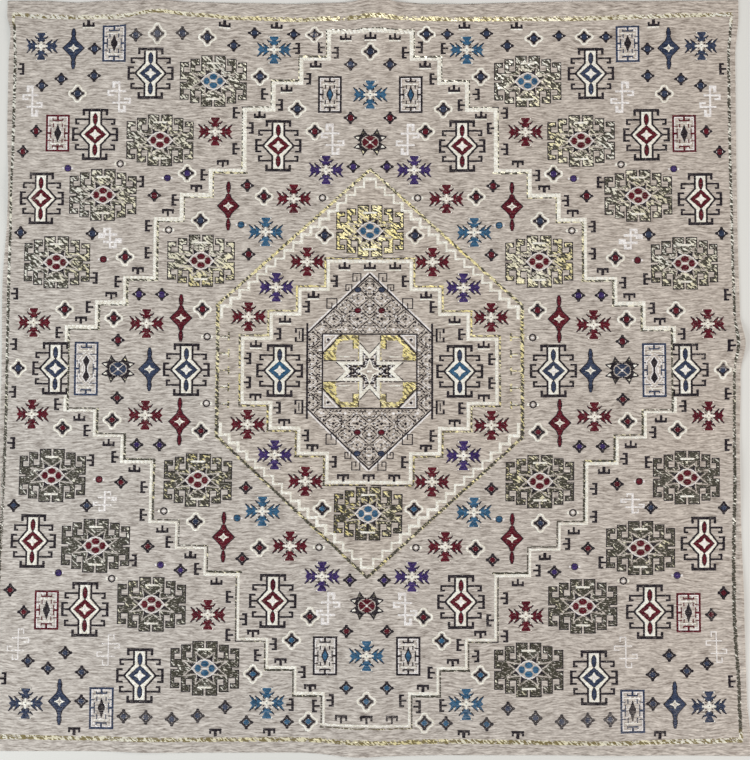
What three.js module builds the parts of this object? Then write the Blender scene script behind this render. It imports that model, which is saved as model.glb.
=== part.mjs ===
// A square jacquard-woven tablecloth, laid out flat with its face up.
// Millimetres, +X to the right, +Y to the top of the pattern, +Z up. The origin is on the surface that the cloth
// lies on, under the middle of its outline box.
import * as THREE from 'three';

// Driving dimensions, measured from the pattern's centre on the cloth as it was woven.
const BORDER_LINE = { x: 733, y: 722 };
const HEM = { left: 12, right: 14, top: 28, bottom: 31 };
const FIELD_THICKNESS = 1.3;
const HEM_THICKNESS = 2.4;
const HEM_STEP = { start: 2, end: 6 };
const EDGE_ROUND = 0.8;
const GRID_PITCH = 40;
const EDGE_REACH = 180;

// How far each side strays outwards from its straight line, at places along it: the woven border line, and the
// folded edge of the hem. Left to right on the top and the bottom, bottom to top on the left and the right.
const TOP_SIDE = [
  { along: -733, line: 1, edge: 1 },
  { along: -672, line: -4, edge: 1 },
  { along: -600, line: -5, edge: -2.5 },
  { along: -534, line: -4.5, edge: 1 },
  { along: -432, line: 7.5, edge: 1 },
  { along: -350, line: 0, edge: -2 },
  { along: -270, line: -7, edge: -4 },
  { along: -140, line: -11, edge: -6 },
  { along: -48, line: -8.5, edge: -3 },
  { along: 8, line: -4.5, edge: 5 },
  { along: 60, line: -8, edge: -3 },
  { along: 130, line: -10, edge: -7 },
  { along: 400, line: -10, edge: -2 },
  { along: 668, line: -2, edge: 0 },
  { along: 733, line: 0, edge: 1 },
];
const BOTTOM_SIDE = [
  { along: -733, line: 1, edge: 1.5 },
  { along: -540, line: 3.3, edge: 1 },
  { along: -431, line: 5, edge: 3.3 },
  { along: -137, line: 2, edge: 2 },
  { along: -19, line: 6.5, edge: 10 },
  { along: 30, line: 7.5, edge: 8 },
  { along: 158, line: 4, edge: 5.5 },
  { along: 452, line: 8, edge: 4.5 },
  { along: 649, line: 3.5, edge: 4 },
  { along: 733, line: 0, edge: 4.5 },
];
const LEFT_SIDE = [
  { along: -722, line: 0, edge: 0 },
  { along: -494, line: -3, edge: -4 },
  { along: -190, line: -6, edge: -5 },
  { along: -10, line: -5, edge: -6.5 },
  { along: 160, line: -5, edge: -5 },
  { along: 352, line: -6.5, edge: -14 },
  { along: 492, line: -8.4, edge: -8 },
  { along: 632, line: -9, edge: -8 },
  { along: 686, line: -7, edge: -12 },
  { along: 722, line: -3, edge: -3.5 },
];
const RIGHT_SIDE = [
  { along: -722, line: 0, edge: 0 },
  { along: -650, line: -2, edge: -6 },
  { along: -465, line: -10, edge: -9 },
  { along: -210, line: -7.5, edge: -13 },
  { along: -10, line: -5.5, edge: -8 },
  { along: 52, line: 2, edge: 1 },
  { along: 110, line: -3, edge: -7 },
  { along: 260, line: -5, edge: -9 },
  { along: 460, line: -7, edge: -9 },
  { along: 632, line: -6.5, edge: -8 },
  { along: 722, line: 0, edge: 0 },
];

// The soft waves that lift the cloth off the surface along its edges: the middle of each crest, its turn from
// the +Y direction in degrees, half its length, half its width and how high it stands.
const WAVES = [
  { name: 'top peak', x: 10, y: 750, turn: 0, length: 170, width: 78, height: 8 },
  { name: 'top peak, left fold', x: -92, y: 712, turn: -38, length: 120, width: 40, height: 2.6 },
  { name: 'top peak, right fold', x: 112, y: 708, turn: 38, length: 130, width: 42, height: 2.8 },
  { name: 'top left wave', x: -438, y: 752, turn: 0, length: 110, width: 84, height: 4 },
  { name: 'top right wave', x: 452, y: 752, turn: 6, length: 90, width: 110, height: 2.4 },
  { name: 'top left corner', x: -742, y: 690, turn: 80, length: 70, width: 52, height: 3.4 },
  { name: 'left roll', x: -748, y: 352, turn: 90, length: 70, width: 96, height: 4.2 },
  { name: 'left low wave', x: -748, y: -180, turn: 86, length: 90, width: 130, height: 2.6 },
  { name: 'right bulge', x: 750, y: 54, turn: 90, length: 104, width: 56, height: 6.5 },
  { name: 'right low wave', x: 750, y: -215, turn: 94, length: 80, width: 110, height: 3.2 },
  { name: 'right corner wave', x: 748, y: -470, turn: 84, length: 80, width: 120, height: 2.6 },
  { name: 'bottom peak', x: -12, y: -758, turn: 0, length: 130, width: 76, height: 5 },
  { name: 'bottom left wave', x: -440, y: -756, turn: -8, length: 80, width: 100, height: 2.4 },
  { name: 'bottom right wave', x: 470, y: -758, turn: 8, length: 90, width: 120, height: 2.8 },
];

const smooth = (t) => t * t * (3 - 2 * t);
const clamp01 = (t) => Math.min(1, Math.max(0, t));
const mix = (a, b, t) => a + (b - a) * t;
const bell = (t) => (Math.abs(t) < 1 ? Math.cos((Math.PI / 2) * t) ** 2 : 0);

// One column of a side's table, read at a place along the side, eased from row to row.
function readSide(rows, column, along) {
  if (along <= rows[0].along) return rows[0][column];
  const next = rows.findIndex((row) => row.along > along);
  if (next < 0) return rows[rows.length - 1][column];
  const [a, b] = [rows[next - 1], rows[next]];
  return mix(a[column], b[column], smooth((along - a.along) / (b.along - a.along)));
}

// How far a point moves outwards for one side. `inward` is its distance inside that side's border line, and it
// is negative on the hem, `hem` wide.
function sideShift(rows, along, inward, hem) {
  const line = readSide(rows, 'line', along);
  if (inward >= 0) return line * (1 - smooth(clamp01(inward / EDGE_REACH)));
  return mix(line, readSide(rows, 'edge', along), clamp01(-inward / hem));
}

// Where a point of the woven cloth lies in plan.
function layOut(s, t) {
  const right = sideShift(RIGHT_SIDE, t, BORDER_LINE.x - s, HEM.right);
  const left = sideShift(LEFT_SIDE, t, BORDER_LINE.x + s, HEM.left);
  const top = sideShift(TOP_SIDE, s, BORDER_LINE.y - t, HEM.top);
  const bottom = sideShift(BOTTOM_SIDE, s, BORDER_LINE.y + t, HEM.bottom);
  return [s + right - left, t + top - bottom];
}

// How high the waves lift the cloth's underside at a place of the woven cloth.
function lift(s, t) {
  let height = 0;
  for (const wave of WAVES) {
    const turn = THREE.MathUtils.degToRad(wave.turn);
    const [dx, dy] = [s - wave.x, t - wave.y];
    const alongCrest = dx * Math.sin(turn) + dy * Math.cos(turn);
    const acrossCrest = dx * Math.cos(turn) - dy * Math.sin(turn);
    height += wave.height * bell(alongCrest / wave.length) * bell(acrossCrest / wave.width);
  }
  return height;
}

// The thickness: one layer in the field, and a soft step up to the turned hem.
function thickness(s, t) {
  const outward = Math.max(Math.abs(s) - BORDER_LINE.x, Math.abs(t) - BORDER_LINE.y);
  const step = smooth(clamp01((outward - HEM_STEP.start) / (HEM_STEP.end - HEM_STEP.start)));
  return mix(FIELD_THICKNESS, HEM_THICKNESS, step);
}

// The grid's lines across one direction of the cloth: even in the field, with the hem's step and edge added.
function gridLines(line, hemLow, hemHigh) {
  const count = Math.round((2 * line) / GRID_PITCH);
  const field = Array.from({ length: count + 1 }, (_, i) => mix(-line, line, i / count));
  const low = [-line - hemLow, -line - HEM_STEP.end, -line - HEM_STEP.start];
  const high = [line + HEM_STEP.start, line + HEM_STEP.end, line + hemHigh];
  return [...low, ...field, ...high];
}

// The sheet as one closed body: its face, its underside and the folded edge all round.
function sheetGeometry() {
  const columns = gridLines(BORDER_LINE.x, HEM.left, HEM.right);
  const rows = gridLines(BORDER_LINE.y, HEM.bottom, HEM.top);
  const [nx, ny] = [columns.length, rows.length];
  const positions = [];
  for (const face of [true, false]) {
    for (let j = 0; j < ny; j += 1) {
      for (let i = 0; i < nx; i += 1) {
        const [x, y] = layOut(columns[i], rows[j]);
        const base = lift(columns[i], rows[j]);
        const inX = face ? (i === 0) - (i === nx - 1) : 0;
        const inY = face ? (j === 0) - (j === ny - 1) : 0;
        const top = base + thickness(columns[i], rows[j]);
        positions.push(x + inX * EDGE_ROUND, y + inY * EDGE_ROUND, face ? top : base);
      }
    }
  }
  const indices = [];
  const at = (i, j, face) => (face ? 0 : nx * ny) + j * nx + i;
  const quad = (a, b, c, d) => indices.push(a, b, c, a, c, d);
  for (let j = 0; j + 1 < ny; j += 1) {
    for (let i = 0; i + 1 < nx; i += 1) {
      quad(at(i, j, true), at(i + 1, j, true), at(i + 1, j + 1, true), at(i, j + 1, true));
      quad(at(i, j, false), at(i, j + 1, false), at(i + 1, j + 1, false), at(i + 1, j, false));
    }
  }
  for (let i = 0; i + 1 < nx; i += 1) {
    quad(at(i, 0, false), at(i + 1, 0, false), at(i + 1, 0, true), at(i, 0, true));
    quad(at(i + 1, ny - 1, false), at(i, ny - 1, false), at(i, ny - 1, true), at(i + 1, ny - 1, true));
  }
  for (let j = 0; j + 1 < ny; j += 1) {
    quad(at(0, j + 1, false), at(0, j, false), at(0, j, true), at(0, j + 1, true));
    quad(at(nx - 1, j, false), at(nx - 1, j + 1, false), at(nx - 1, j + 1, true), at(nx - 1, j, true));
  }
  const geometry = new THREE.BufferGeometry();
  geometry.setAttribute('position', new THREE.Float32BufferAttribute(positions, 3));
  geometry.setIndex(indices);
  return geometry;
}

// Puts the middle of the outline box over the origin, in plan.
function centreInPlan(geometry) {
  geometry.computeBoundingBox();
  const centre = geometry.boundingBox.getCenter(new THREE.Vector3());
  geometry.translate(-centre.x, -centre.y, 0);
  geometry.computeVertexNormals();
  return geometry;
}

const weave = new THREE.MeshStandardMaterial({ color: 0xafa398, roughness: 0.9, metalness: 0 });
const cloth = new THREE.Mesh(centreInPlan(sheetGeometry()), weave);
cloth.name = 'cloth';

const tablecloth = new THREE.Group();
tablecloth.add(cloth);

export default tablecloth;
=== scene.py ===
"""Looks of a square jacquard-woven tablecloth, laid out flat with its woven face up.

The pattern is drawn on a weaver's point paper, one cell for each crossing of a pick and an end. Each run of
a coloured weft on it becomes short floats, which lie on the cloth as they do on the loom. Lengths are in
metres in the scene, in millimetres on the woven cloth, and in chart units of two millimetres on the paper.
"""
import logging
import math
import sys
from dataclasses import dataclass, field
from enum import Enum, IntEnum
from typing import Any, ClassVar, NamedTuple, Sequence

import bpy
import numpy as np
from mathutils import Euler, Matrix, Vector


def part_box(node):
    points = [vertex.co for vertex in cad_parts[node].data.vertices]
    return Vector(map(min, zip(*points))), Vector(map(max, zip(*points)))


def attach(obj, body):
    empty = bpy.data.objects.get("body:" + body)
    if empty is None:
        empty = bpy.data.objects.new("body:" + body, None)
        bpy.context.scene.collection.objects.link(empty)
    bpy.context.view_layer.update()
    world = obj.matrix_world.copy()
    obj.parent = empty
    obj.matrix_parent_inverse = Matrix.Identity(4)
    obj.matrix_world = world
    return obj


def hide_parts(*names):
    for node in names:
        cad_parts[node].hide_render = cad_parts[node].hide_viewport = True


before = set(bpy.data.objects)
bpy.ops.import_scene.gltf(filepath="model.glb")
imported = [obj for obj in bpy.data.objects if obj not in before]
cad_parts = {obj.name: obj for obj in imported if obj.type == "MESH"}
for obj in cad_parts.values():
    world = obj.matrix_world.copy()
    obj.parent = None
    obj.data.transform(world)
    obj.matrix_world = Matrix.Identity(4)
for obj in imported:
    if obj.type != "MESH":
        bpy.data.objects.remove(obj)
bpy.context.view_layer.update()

LOG = logging.getLogger("tablecloth")
BODY = "root"
BAKE_MAP = "OFBake"
SHADE = "float_shade"
SIZE = "float_size"
TURN = "float_turn"

MM = 0.001
UNIT = 2.0
CELL = 0.5

# The flat map's side in metres, the gap before its strip for the underside, and how far down a normal of a
# face in that strip points.
MAP_SIDE = 1.56
MAP_GAP = 0.01
FACING_DOWN = -0.2
# Where the gold line along the top and the bottom lies, in metres from the middle. Its foil gets more
# painted glints and a lighter painted sheen.
HEM_BAND = (0.7, 0.71)

Point = tuple[float, float]
Box = tuple[float, float, float, float]


class SideRow(NamedTuple):
    """How far a side strays outwards at one place along it, in millimetres."""

    along: float
    line: float
    edge: float


def side_rows(*rows: tuple[float, float, float]) -> tuple[SideRow, ...]:
    """A side's table: places along it, the woven line's stray and the hem's edge's stray at each."""
    return tuple(SideRow(*row) for row in rows)


class Wave(NamedTuple):
    """A soft wave that lifts the cloth: the middle of its crest, its turn in degrees, and its half sizes."""

    x: float
    y: float
    turn: float
    length: float
    width: float
    height: float


TOP_SIDE = side_rows(
    (-733, 1, 1), (-672, -4, 1), (-600, -5, -2.5), (-534, -4.5, 1), (-432, 7.5, 1), (-350, 0, -2),
    (-270, -7, -4), (-140, -11, -6), (-48, -8.5, -3), (8, -4.5, 5), (60, -8, -3), (130, -10, -7),
    (400, -10, -2), (668, -2, 0), (733, 0, 1),
)
BOTTOM_SIDE = side_rows(
    (-733, 1, 1.5), (-540, 3.3, 1), (-431, 5, 3.3), (-137, 2, 2), (-19, 6.5, 10), (30, 7.5, 8),
    (158, 4, 5.5), (452, 8, 4.5), (649, 3.5, 4), (733, 0, 4.5),
)
LEFT_SIDE = side_rows(
    (-722, 0, 0), (-494, -3, -4), (-190, -6, -5), (-10, -5, -6.5), (160, -5, -5), (352, -6.5, -14),
    (492, -8.4, -8), (632, -9, -8), (686, -7, -12), (722, -3, -3.5),
)
RIGHT_SIDE = side_rows(
    (-722, 0, 0), (-650, -2, -6), (-465, -10, -9), (-210, -7.5, -13), (-10, -5.5, -8), (52, 2, 1),
    (110, -3, -7), (260, -5, -9), (460, -7, -9), (632, -6.5, -8), (722, 0, 0),
)
WAVES = (
    Wave(10, 750, 0, 170, 78, 8),
    Wave(-92, 712, -38, 120, 40, 2.6),
    Wave(112, 708, 38, 130, 42, 2.8),
    Wave(-438, 752, 0, 110, 84, 4),
    Wave(452, 752, 6, 90, 110, 2.4),
    Wave(-742, 690, 80, 70, 52, 3.4),
    Wave(-748, 352, 90, 70, 96, 4.2),
    Wave(-748, -180, 86, 90, 130, 2.6),
    Wave(750, 54, 90, 104, 56, 6.5),
    Wave(750, -215, 94, 80, 110, 3.2),
    Wave(748, -470, 84, 80, 120, 2.6),
    Wave(-12, -758, 0, 130, 76, 5),
    Wave(-440, -756, -8, 80, 100, 2.4),
    Wave(470, -758, 8, 90, 120, 2.8),
)


def smooth(t: np.ndarray) -> np.ndarray:
    """Eases from 0 to 1 with no slope at either end."""
    return t * t * (3 - 2 * t)


def eased(t: np.ndarray) -> np.ndarray:
    """Eases from 0 to 1, and stays there beyond them."""
    return smooth(np.clip(t, 0, 1))


def bell(t: np.ndarray) -> np.ndarray:
    """A round hump: 1 in the middle, 0 from one half size away."""
    return np.where(np.abs(t) < 1, np.cos(np.pi / 2 * t) ** 2, 0)


@dataclass
class Lay:
    """Where the woven cloth lies: its straying sides, its soft waves and its thickness, in millimetres."""

    border_x: float = 733
    border_y: float = 722
    hem_left: float = 12
    hem_right: float = 14
    hem_top: float = 28
    hem_bottom: float = 31
    field_thickness: float = 1.3
    hem_thickness: float = 2.4
    hem_step: tuple[float, float] = (2, 6)
    edge_reach: float = 75
    bow: float = 5.6
    bow_middle: float = 60
    bow_reach: float = 900
    droop: float = 0.7
    droop_zone: tuple[float, float] = (350, 300)
    slip: float = 4.6
    slip_zone: tuple[float, float] = (50, 450)
    pucker_height: float = 0.22
    pucker_drift: tuple[float, float] = (1.7, 0.011)
    pucker_pitch: float = 34
    pucker_reach: float = 22
    stitch_line: float = 7
    offset: tuple[float, float] = (0.0, 0.0)

    @staticmethod
    def read_side(rows: Sequence[SideRow], column: str, along: np.ndarray) -> np.ndarray:
        """Reads a side's table at places along it, eased from row to row.

        Args:
            rows: The side's table.
            column: Which of its columns is read, line or edge.
            along: Places along the side.

        Returns:
            How far the side strays outwards at those places.
        """
        places = np.array([row.along for row in rows], float)
        values = np.array([getattr(row, column) for row in rows], float)
        upper = np.clip(np.searchsorted(places, along, side="right"), 1, len(rows) - 1)
        step = np.clip((along - places[upper - 1]) / (places[upper] - places[upper - 1]), 0, 1)
        return values[upper - 1] + (values[upper] - values[upper - 1]) * smooth(step)

    def side_shift(
        self, rows: Sequence[SideRow], along: np.ndarray, inward: np.ndarray, hem: float
    ) -> np.ndarray:
        """Works out how far points move outwards for one side.

        Args:
            rows: The side's table.
            along: The points' places along the side.
            inward: How far they are inside the side's border line, negative on the hem.
            hem: The hem's width on that side.

        Returns:
            The shift of each point.
        """
        line = self.read_side(rows, "line", along)
        edge = self.read_side(rows, "edge", along)
        inside = line * (1 - eased(inward / self.edge_reach))
        outside = line + (edge - line) * np.clip(-inward / hem, 0, 1)
        return np.where(inward >= 0, inside, outside)

    def plan(self, s: np.ndarray, t: np.ndarray) -> tuple[np.ndarray, np.ndarray]:
        """Lays points of the woven cloth out in plan.

        Args:
            s: Places across the woven cloth.
            t: Places up the woven cloth.

        Returns:
            Where they lie, across and up, centred as the solid is.
        """
        right = self.side_shift(RIGHT_SIDE, t, self.border_x - s, self.hem_right)
        left = self.side_shift(LEFT_SIDE, t, self.border_x + s, self.hem_left)
        top = self.side_shift(TOP_SIDE, s, self.border_y - t, self.hem_top)
        bottom = self.side_shift(BOTTOM_SIDE, s, self.border_y + t, self.hem_bottom)
        return s + right - left + self.offset[0], t + top - bottom + self.offset[1]

    def drawn(self, s: np.ndarray, t: np.ndarray) -> tuple[np.ndarray, np.ndarray]:
        """Finds where the pattern is drawn on the cloth: its picks bow down, and its lower half slips aside.

        Args:
            s: The pattern's even places across.
            t: The pattern's even places up.

        Returns:
            Its drawn places, across and up.
        """
        across = bell((s - self.bow_middle) / self.bow_reach)
        low, aside = (eased((-t - start) / reach) for start, reach in (self.droop_zone, self.slip_zone))
        below_top = 1 - eased((t - self.border_y) / self.edge_reach + 1)
        down = self.bow * (across + (1 - across) * self.droop * low) * below_top
        return s - self.slip * aside, t - down

    def outward(self, s: np.ndarray, t: np.ndarray) -> np.ndarray:
        """How far points are outside the woven border line."""
        return np.maximum(np.abs(s) - self.border_x, np.abs(t) - self.border_y)

    def lift(self, s: np.ndarray, t: np.ndarray) -> np.ndarray:
        """How high the waves hold the underside at places of the cloth."""
        height = np.zeros(np.broadcast(s, t).shape)
        for wave in WAVES:
            turn = math.radians(wave.turn)
            dx, dy = s - wave.x, t - wave.y
            along = dx * math.sin(turn) + dy * math.cos(turn)
            across = dx * math.cos(turn) - dy * math.sin(turn)
            height = height + wave.height * bell(along / wave.length) * bell(across / wave.width)
        return height

    def pucker(self, s: np.ndarray, t: np.ndarray) -> np.ndarray:
        """The little gathers that the hem's stitching draws, on the face alone."""
        distance = np.abs(self.outward(s, t) - self.stitch_line)
        along = np.where(np.abs(s) - self.border_x > np.abs(t) - self.border_y, t, s)
        turn = 2 * math.pi / self.pucker_pitch
        drift, slow = self.pucker_drift
        ripple = np.sin(along * turn + drift * np.sin(along * slow)) * 0.5 + 0.5
        return -self.pucker_height * ripple * bell(distance / self.pucker_reach)

    def face(self, s: np.ndarray, t: np.ndarray) -> np.ndarray:
        """The height of the woven face over the surface that the cloth lies on."""
        start, end = self.hem_step
        step = eased((self.outward(s, t) - start) / (end - start))
        thickness = self.field_thickness + (self.hem_thickness - self.field_thickness) * step
        return self.lift(s, t) + thickness + self.pucker(s, t)


class Yarn(IntEnum):
    """The wefts of the pattern, as they are written on the point paper."""

    GROUND = 0
    CREAM = 1
    GOLD = 2
    DARK = 3
    RED = 4
    SKY = 5
    NAVY = 6
    PURPLE = 7
    PALE = 8


GROUND, CREAM, GOLD, DARK, RED, SKY, NAVY, PURPLE, PALE = Yarn


class Facing(Enum):
    """The way in which a latch hook's stem points."""

    UP = (0, 1)
    DOWN = (0, -1)
    OUT = (1, 0)
    IN = (-1, 0)


def grain(seed: int, rows: int, columns: int) -> np.ndarray:
    """Random numbers from 0 to 1 for a part of the chart, the same over each dash of three cells by two."""
    chance = np.random.default_rng(seed).random((rows // 2 + 1, columns // 3 + 1))
    return chance.repeat(2, axis=0).repeat(3, axis=1)[:rows, :columns]


class PointPaper:
    """The weaver's chart of one quarter of the cloth, from its middle outwards."""

    def __init__(self, half_width: float, half_height: float) -> None:
        """Lays out an empty chart.

        Args:
            half_width: Its width, in chart units.
            half_height: Its height, in chart units.
        """
        self.codes = np.zeros((round(half_height / CELL), round(half_width / CELL)), np.uint8)
        self.v = (np.arange(self.codes.shape[0]) + 0.5) * CELL
        self.u = (np.arange(self.codes.shape[1]) + 0.5) * CELL

    def window(self, low: Point, high: Point) -> tuple[slice, slice]:
        """The rows and columns of the chart between two corners."""
        rows = slice(max(0, round(low[1] / CELL)), max(0, round(high[1] / CELL)))
        columns = slice(max(0, round(low[0] / CELL)), max(0, round(high[0] / CELL)))
        return rows, columns

    def bar(self, yarn: Yarn, u0: float, v0: float, u1: float, v1: float) -> None:
        """Fills the upright rectangle between two corners."""
        rows, columns = self.window((min(u0, u1), min(v0, v1)), (max(u0, u1), max(v0, v1)))
        self.codes[rows, columns] = yarn

    def bars(self, yarn: Yarn, *boxes: Box) -> None:
        """Fills several upright rectangles."""
        for box in boxes:
            self.bar(yarn, *box)

    def paint(self, yarn: Yarn, rows: slice, columns: slice, inside: np.ndarray) -> None:
        """Paints the cells of a window where inside is true."""
        self.codes[rows, columns][inside] = yarn

    def fill(self, yarn: Yarn, points: Sequence[Point]) -> None:
        """Fills a polygon."""
        corners = np.array(points, float)
        rows, columns = self.window(corners.min(0) - CELL, corners.max(0) + CELL)
        u, v = self.u[None, columns], self.v[rows, None]
        inside = np.zeros((v.shape[0], u.shape[1]), bool)
        for (u0, v0), (u1, v1) in zip(corners, np.roll(corners, -1, axis=0)):
            if v0 != v1:
                crosses = (v0 > v) != (v1 > v)
                inside ^= crosses & (u < (u1 - u0) * (v - v0) / (v1 - v0) + u0)
        self.paint(yarn, rows, columns, inside)

    def rim(self, yarn: Yarn, edge: Yarn, low: Point, high: Point) -> None:
        """Edges a yarn's shapes in a window with another yarn, two cells wide."""
        rows, columns = self.window(low, high)
        part = self.codes[rows, columns]
        inner = part == yarn
        for _ in range(2):
            wide = np.pad(inner, 1)
            inner = inner & wide[:-2, 1:-1] & wide[2:, 1:-1] & wide[1:-1, :-2] & wide[1:-1, 2:]
        part[(part == yarn) & ~inner] = edge

    def speckle(self, yarn: Yarn, other: Yarn, low: Point, high: Point, share: float) -> None:
        """Turns a share of a yarn's cells in a window into another yarn, in small dashes."""
        rows, columns = self.window(low, high)
        part = self.codes[rows, columns]
        part[(part == yarn) & (grain(int(other), *part.shape) < share)] = other

    def spot(self, yarn: Yarn, u: float, v: float, across: float, up: float) -> None:
        """Fills an ellipse, given by its middle and its half sizes."""
        rows, columns = self.window((u - across - CELL, v - up - CELL), (u + across + CELL, v + up + CELL))
        reach = ((self.u[None, columns] - u) / across) ** 2 + ((self.v[rows, None] - v) / up) ** 2
        self.paint(yarn, rows, columns, reach <= 1)

    def stroke(self, yarn: Yarn, points: Sequence[Point], width: float) -> None:
        """Draws a line of even width through points, square at its ends where it runs along the cells."""
        half = width / 2
        for (u0, v0), (u1, v1) in zip(points, points[1:]):
            low, high = (min(u0, u1) - half, min(v0, v1) - half), (max(u0, u1) + half, max(v0, v1) + half)
            if u0 == u1 or v0 == v1:
                self.bar(yarn, *low, *high)
                continue
            rows, columns = self.window(low, high)
            u, v = self.u[None, columns] - u0, self.v[rows, None] - v0
            du, dv = u1 - u0, v1 - v0
            step = np.clip((u * du + v * dv) / (du * du + dv * dv), 0, 1)
            self.paint(yarn, rows, columns, np.hypot(u - step * du, v - step * dv) <= half)


@dataclass
class Stamp:
    """A motif being drawn about its own middle, the same in its four quarters."""

    paper: PointPaper
    u: float
    v: float
    quarters: ClassVar[tuple[Point, ...]] = ((1, 1), (-1, 1), (1, -1), (-1, -1))

    def __post_init__(self) -> None:
        """Sets the middle on the chart's lines, so that the quarters match."""
        self.u = round(self.u / CELL) * CELL
        self.v = round(self.v / CELL) * CELL

    def bar(self, yarn: Yarn, u0: float, v0: float, u1: float, v1: float) -> None:
        """Fills a rectangle in each quarter."""
        for a, b in self.quarters:
            self.paper.bar(yarn, self.u + a * u0, self.v + b * v0, self.u + a * u1, self.v + b * v1)

    def bars(self, yarn: Yarn, *boxes: Box) -> None:
        """Fills several rectangles in each quarter."""
        for box in boxes:
            self.bar(yarn, *box)

    def wedge(self, yarn: Yarn, *points: Point) -> None:
        """Fills a polygon that reaches the motif's middle, in each quarter."""
        self.fill(yarn, [*points, (0, 0)])

    def fill(self, yarn: Yarn, points: Sequence[Point]) -> None:
        """Fills a polygon in each quarter."""
        for a, b in self.quarters:
            self.paper.fill(yarn, [(self.u + a * u, self.v + b * v) for u, v in points])

    def stroke(self, yarn: Yarn, points: Sequence[Point], width: float) -> None:
        """Draws a line in each quarter."""
        for a, b in self.quarters:
            self.paper.stroke(yarn, [(self.u + a * u, self.v + b * v) for u, v in points], width)

    def spot(self, yarn: Yarn, u: float, v: float, across: float, up: float) -> None:
        """Fills an ellipse in each quarter."""
        for a, b in self.quarters:
            self.paper.spot(yarn, self.u + a * u, self.v + b * v, across, up)


class Motifs:
    """The motifs, each drawn about its middle in its own colour."""

    TALL_CASKET = 20.0
    HOOK_HALF_HEIGHT = 15.5

    def __init__(self, paper: PointPaper, lit: bool) -> None:
        """Keeps the chart.

        Args:
            paper: The chart that they are drawn on.
            lit: Whether they have the pale specks and lines of the cloth's upper half.
        """
        self.paper = paper
        self.lit = lit

    def latch(self, u: float, v: float, facing: Facing, lit: bool = False) -> None:
        """A T-shaped latch hook, its ends turned the way that its stem points.

        Args:
            u: The middle of its bar, across.
            v: The middle of its bar, up.
            facing: The way that the stem points.
            lit: Whether a thin cream line runs behind the bar.
        """
        du, dv = facing.value
        half_stem = 1.25 if dv else 1.0

        def piece(yarn: Yarn, across0: float, out0: float, across1: float, out1: float) -> None:
            """Fills one rectangle, given across the hook and out along its stem."""
            start = (u + across0 * abs(dv) + out0 * du, v + across0 * abs(du) + out0 * dv)
            end = (u + across1 * abs(dv) + out1 * du, v + across1 * abs(du) + out1 * dv)
            self.paper.bar(yarn, *start, *end)

        if lit:
            piece(CREAM, -6, -2.5, 6, -1)
        for box in ((-6, -1, 6, 1.5), (-6, 1.5, -4, 4), (4, 1.5, 6, 4), (-half_stem, 1, half_stem, 6.5)):
            piece(DARK, *box)

    def cross(self, u: float, v: float, yarn: Yarn) -> None:
        """A feathered cross, each of its arms two stacked wedges with barbs."""
        mark = Stamp(self.paper, u, v)
        mark.stroke(DARK, [(5.5, 2), (11.5, 6.5)], 1.4)
        mark.stroke(DARK, [(10.5, 2), (17, 7)], 1.4)
        mark.stroke(DARK, [(2.5, 4.5), (7, 10.5)], 1.2)
        mark.fill(yarn, [(5, 0), (5, 1.5), (11.5, 6), (9.8, 2.6), (10.5, 0)])
        mark.fill(yarn, [(9.5, 0), (9.5, 1.2), (17, 6.5), (14.6, 2.4), (17, 0)])
        mark.fill(yarn, [(0, 4), (1.2, 4), (6.5, 10.4), (3, 9), (0, 9)])
        mark.fill(yarn, [(0, 8.5), (1.5, 8.5), (5.8, 14.8), (0, 14.4)])
        mark.bars(CREAM, (11, 3.5, 12.5, 4.5), (5, 3, 6.5, 4), (4, 6.5, 5, 7.5), (4.5, 13, 5.5, 14.5))
        mark.bars(CREAM, (0, 0, 7, 1), (0, 0, 1, 5))
        mark.spot(CREAM, 0, 0, 2.6, 2)
        mark.bar(DARK, 2.5, 2, 4, 3)
        mark.bar(yarn, 0, 0, 0.5, 0.5)

    def medallion(self, u: float, v: float, ring: Yarn, heart: Yarn) -> None:
        """A hooked medallion: a tube through a lozenge, with hooks on both sides.

        Args:
            u: Its middle, across.
            v: Its middle, up.
            ring: The yarn of the ring in the lozenge.
            heart: The yarn of the drops in the tube.
        """
        mark = Stamp(self.paper, u, v)
        mark.bar(GROUND, 0, 0, 18, 27)
        mark.wedge(DARK, (0, 11), (7, 11), (17, 0))
        mark.bars(DARK, (0, 9, 7, 25), (0, 23.5, 13, 26.5), (10.5, 19.5, 13, 26.5))
        mark.bar(CREAM, 0, 8, 5, 23.5)
        mark.wedge(CREAM, (0, 10.4), (5, 10.4), (14.4, 0))
        mark.spot(DARK, 0, 15.8, 2.6, 6)
        mark.spot(heart, 0, 15.8, 1.9, 5.2)
        mark.wedge(DARK, (0, 10), (3, 7.5), (11.6, 0))
        mark.wedge(ring, (0, 9.4), (3, 7), (10.8, 0))
        mark.wedge(CREAM, (0, 5.6), (1.8, 2.4), (5.8, 0))
        mark.spot(PALE, 0, 0, 2.4, 2)
        mark.bars(DARK, (15, 0, 23, 1), (21, 0, 23.5, 6.5), (17, 5, 23.5, 7), (6, 14.5, 20.5, 16.5))
        mark.bars(DARK, (18.5, 10, 20.5, 16.5), (16, 10, 20.5, 12))

    def spindle(self, u: float, v: float, yarn: Yarn, reach: float) -> None:
        """A spindle: a hollow-sided diamond with a small cream cross, and a lobe above and below it."""
        mark = Stamp(self.paper, u, v)
        mark.wedge(DARK, (0, 13), (2.2, 12), (3.4, 8.5), (7, 5), (11.8, 0))
        mark.spot(DARK, 0, reach - 6, 2.4, 6.2)
        mark.wedge(yarn, (0, 13), (1.2, 12), (2.6, 8), (6.2, 4.6), (10.4, 0))
        mark.spot(yarn, 0, reach - 6, 1.6, 5.4)
        mark.wedge(CREAM, (0, 4.5), (1.4, 1.8), (5.4, 0))
        mark.wedge(GROUND, (0, 2.2), (0.8, 0.8), (2.8, 0))

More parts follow.
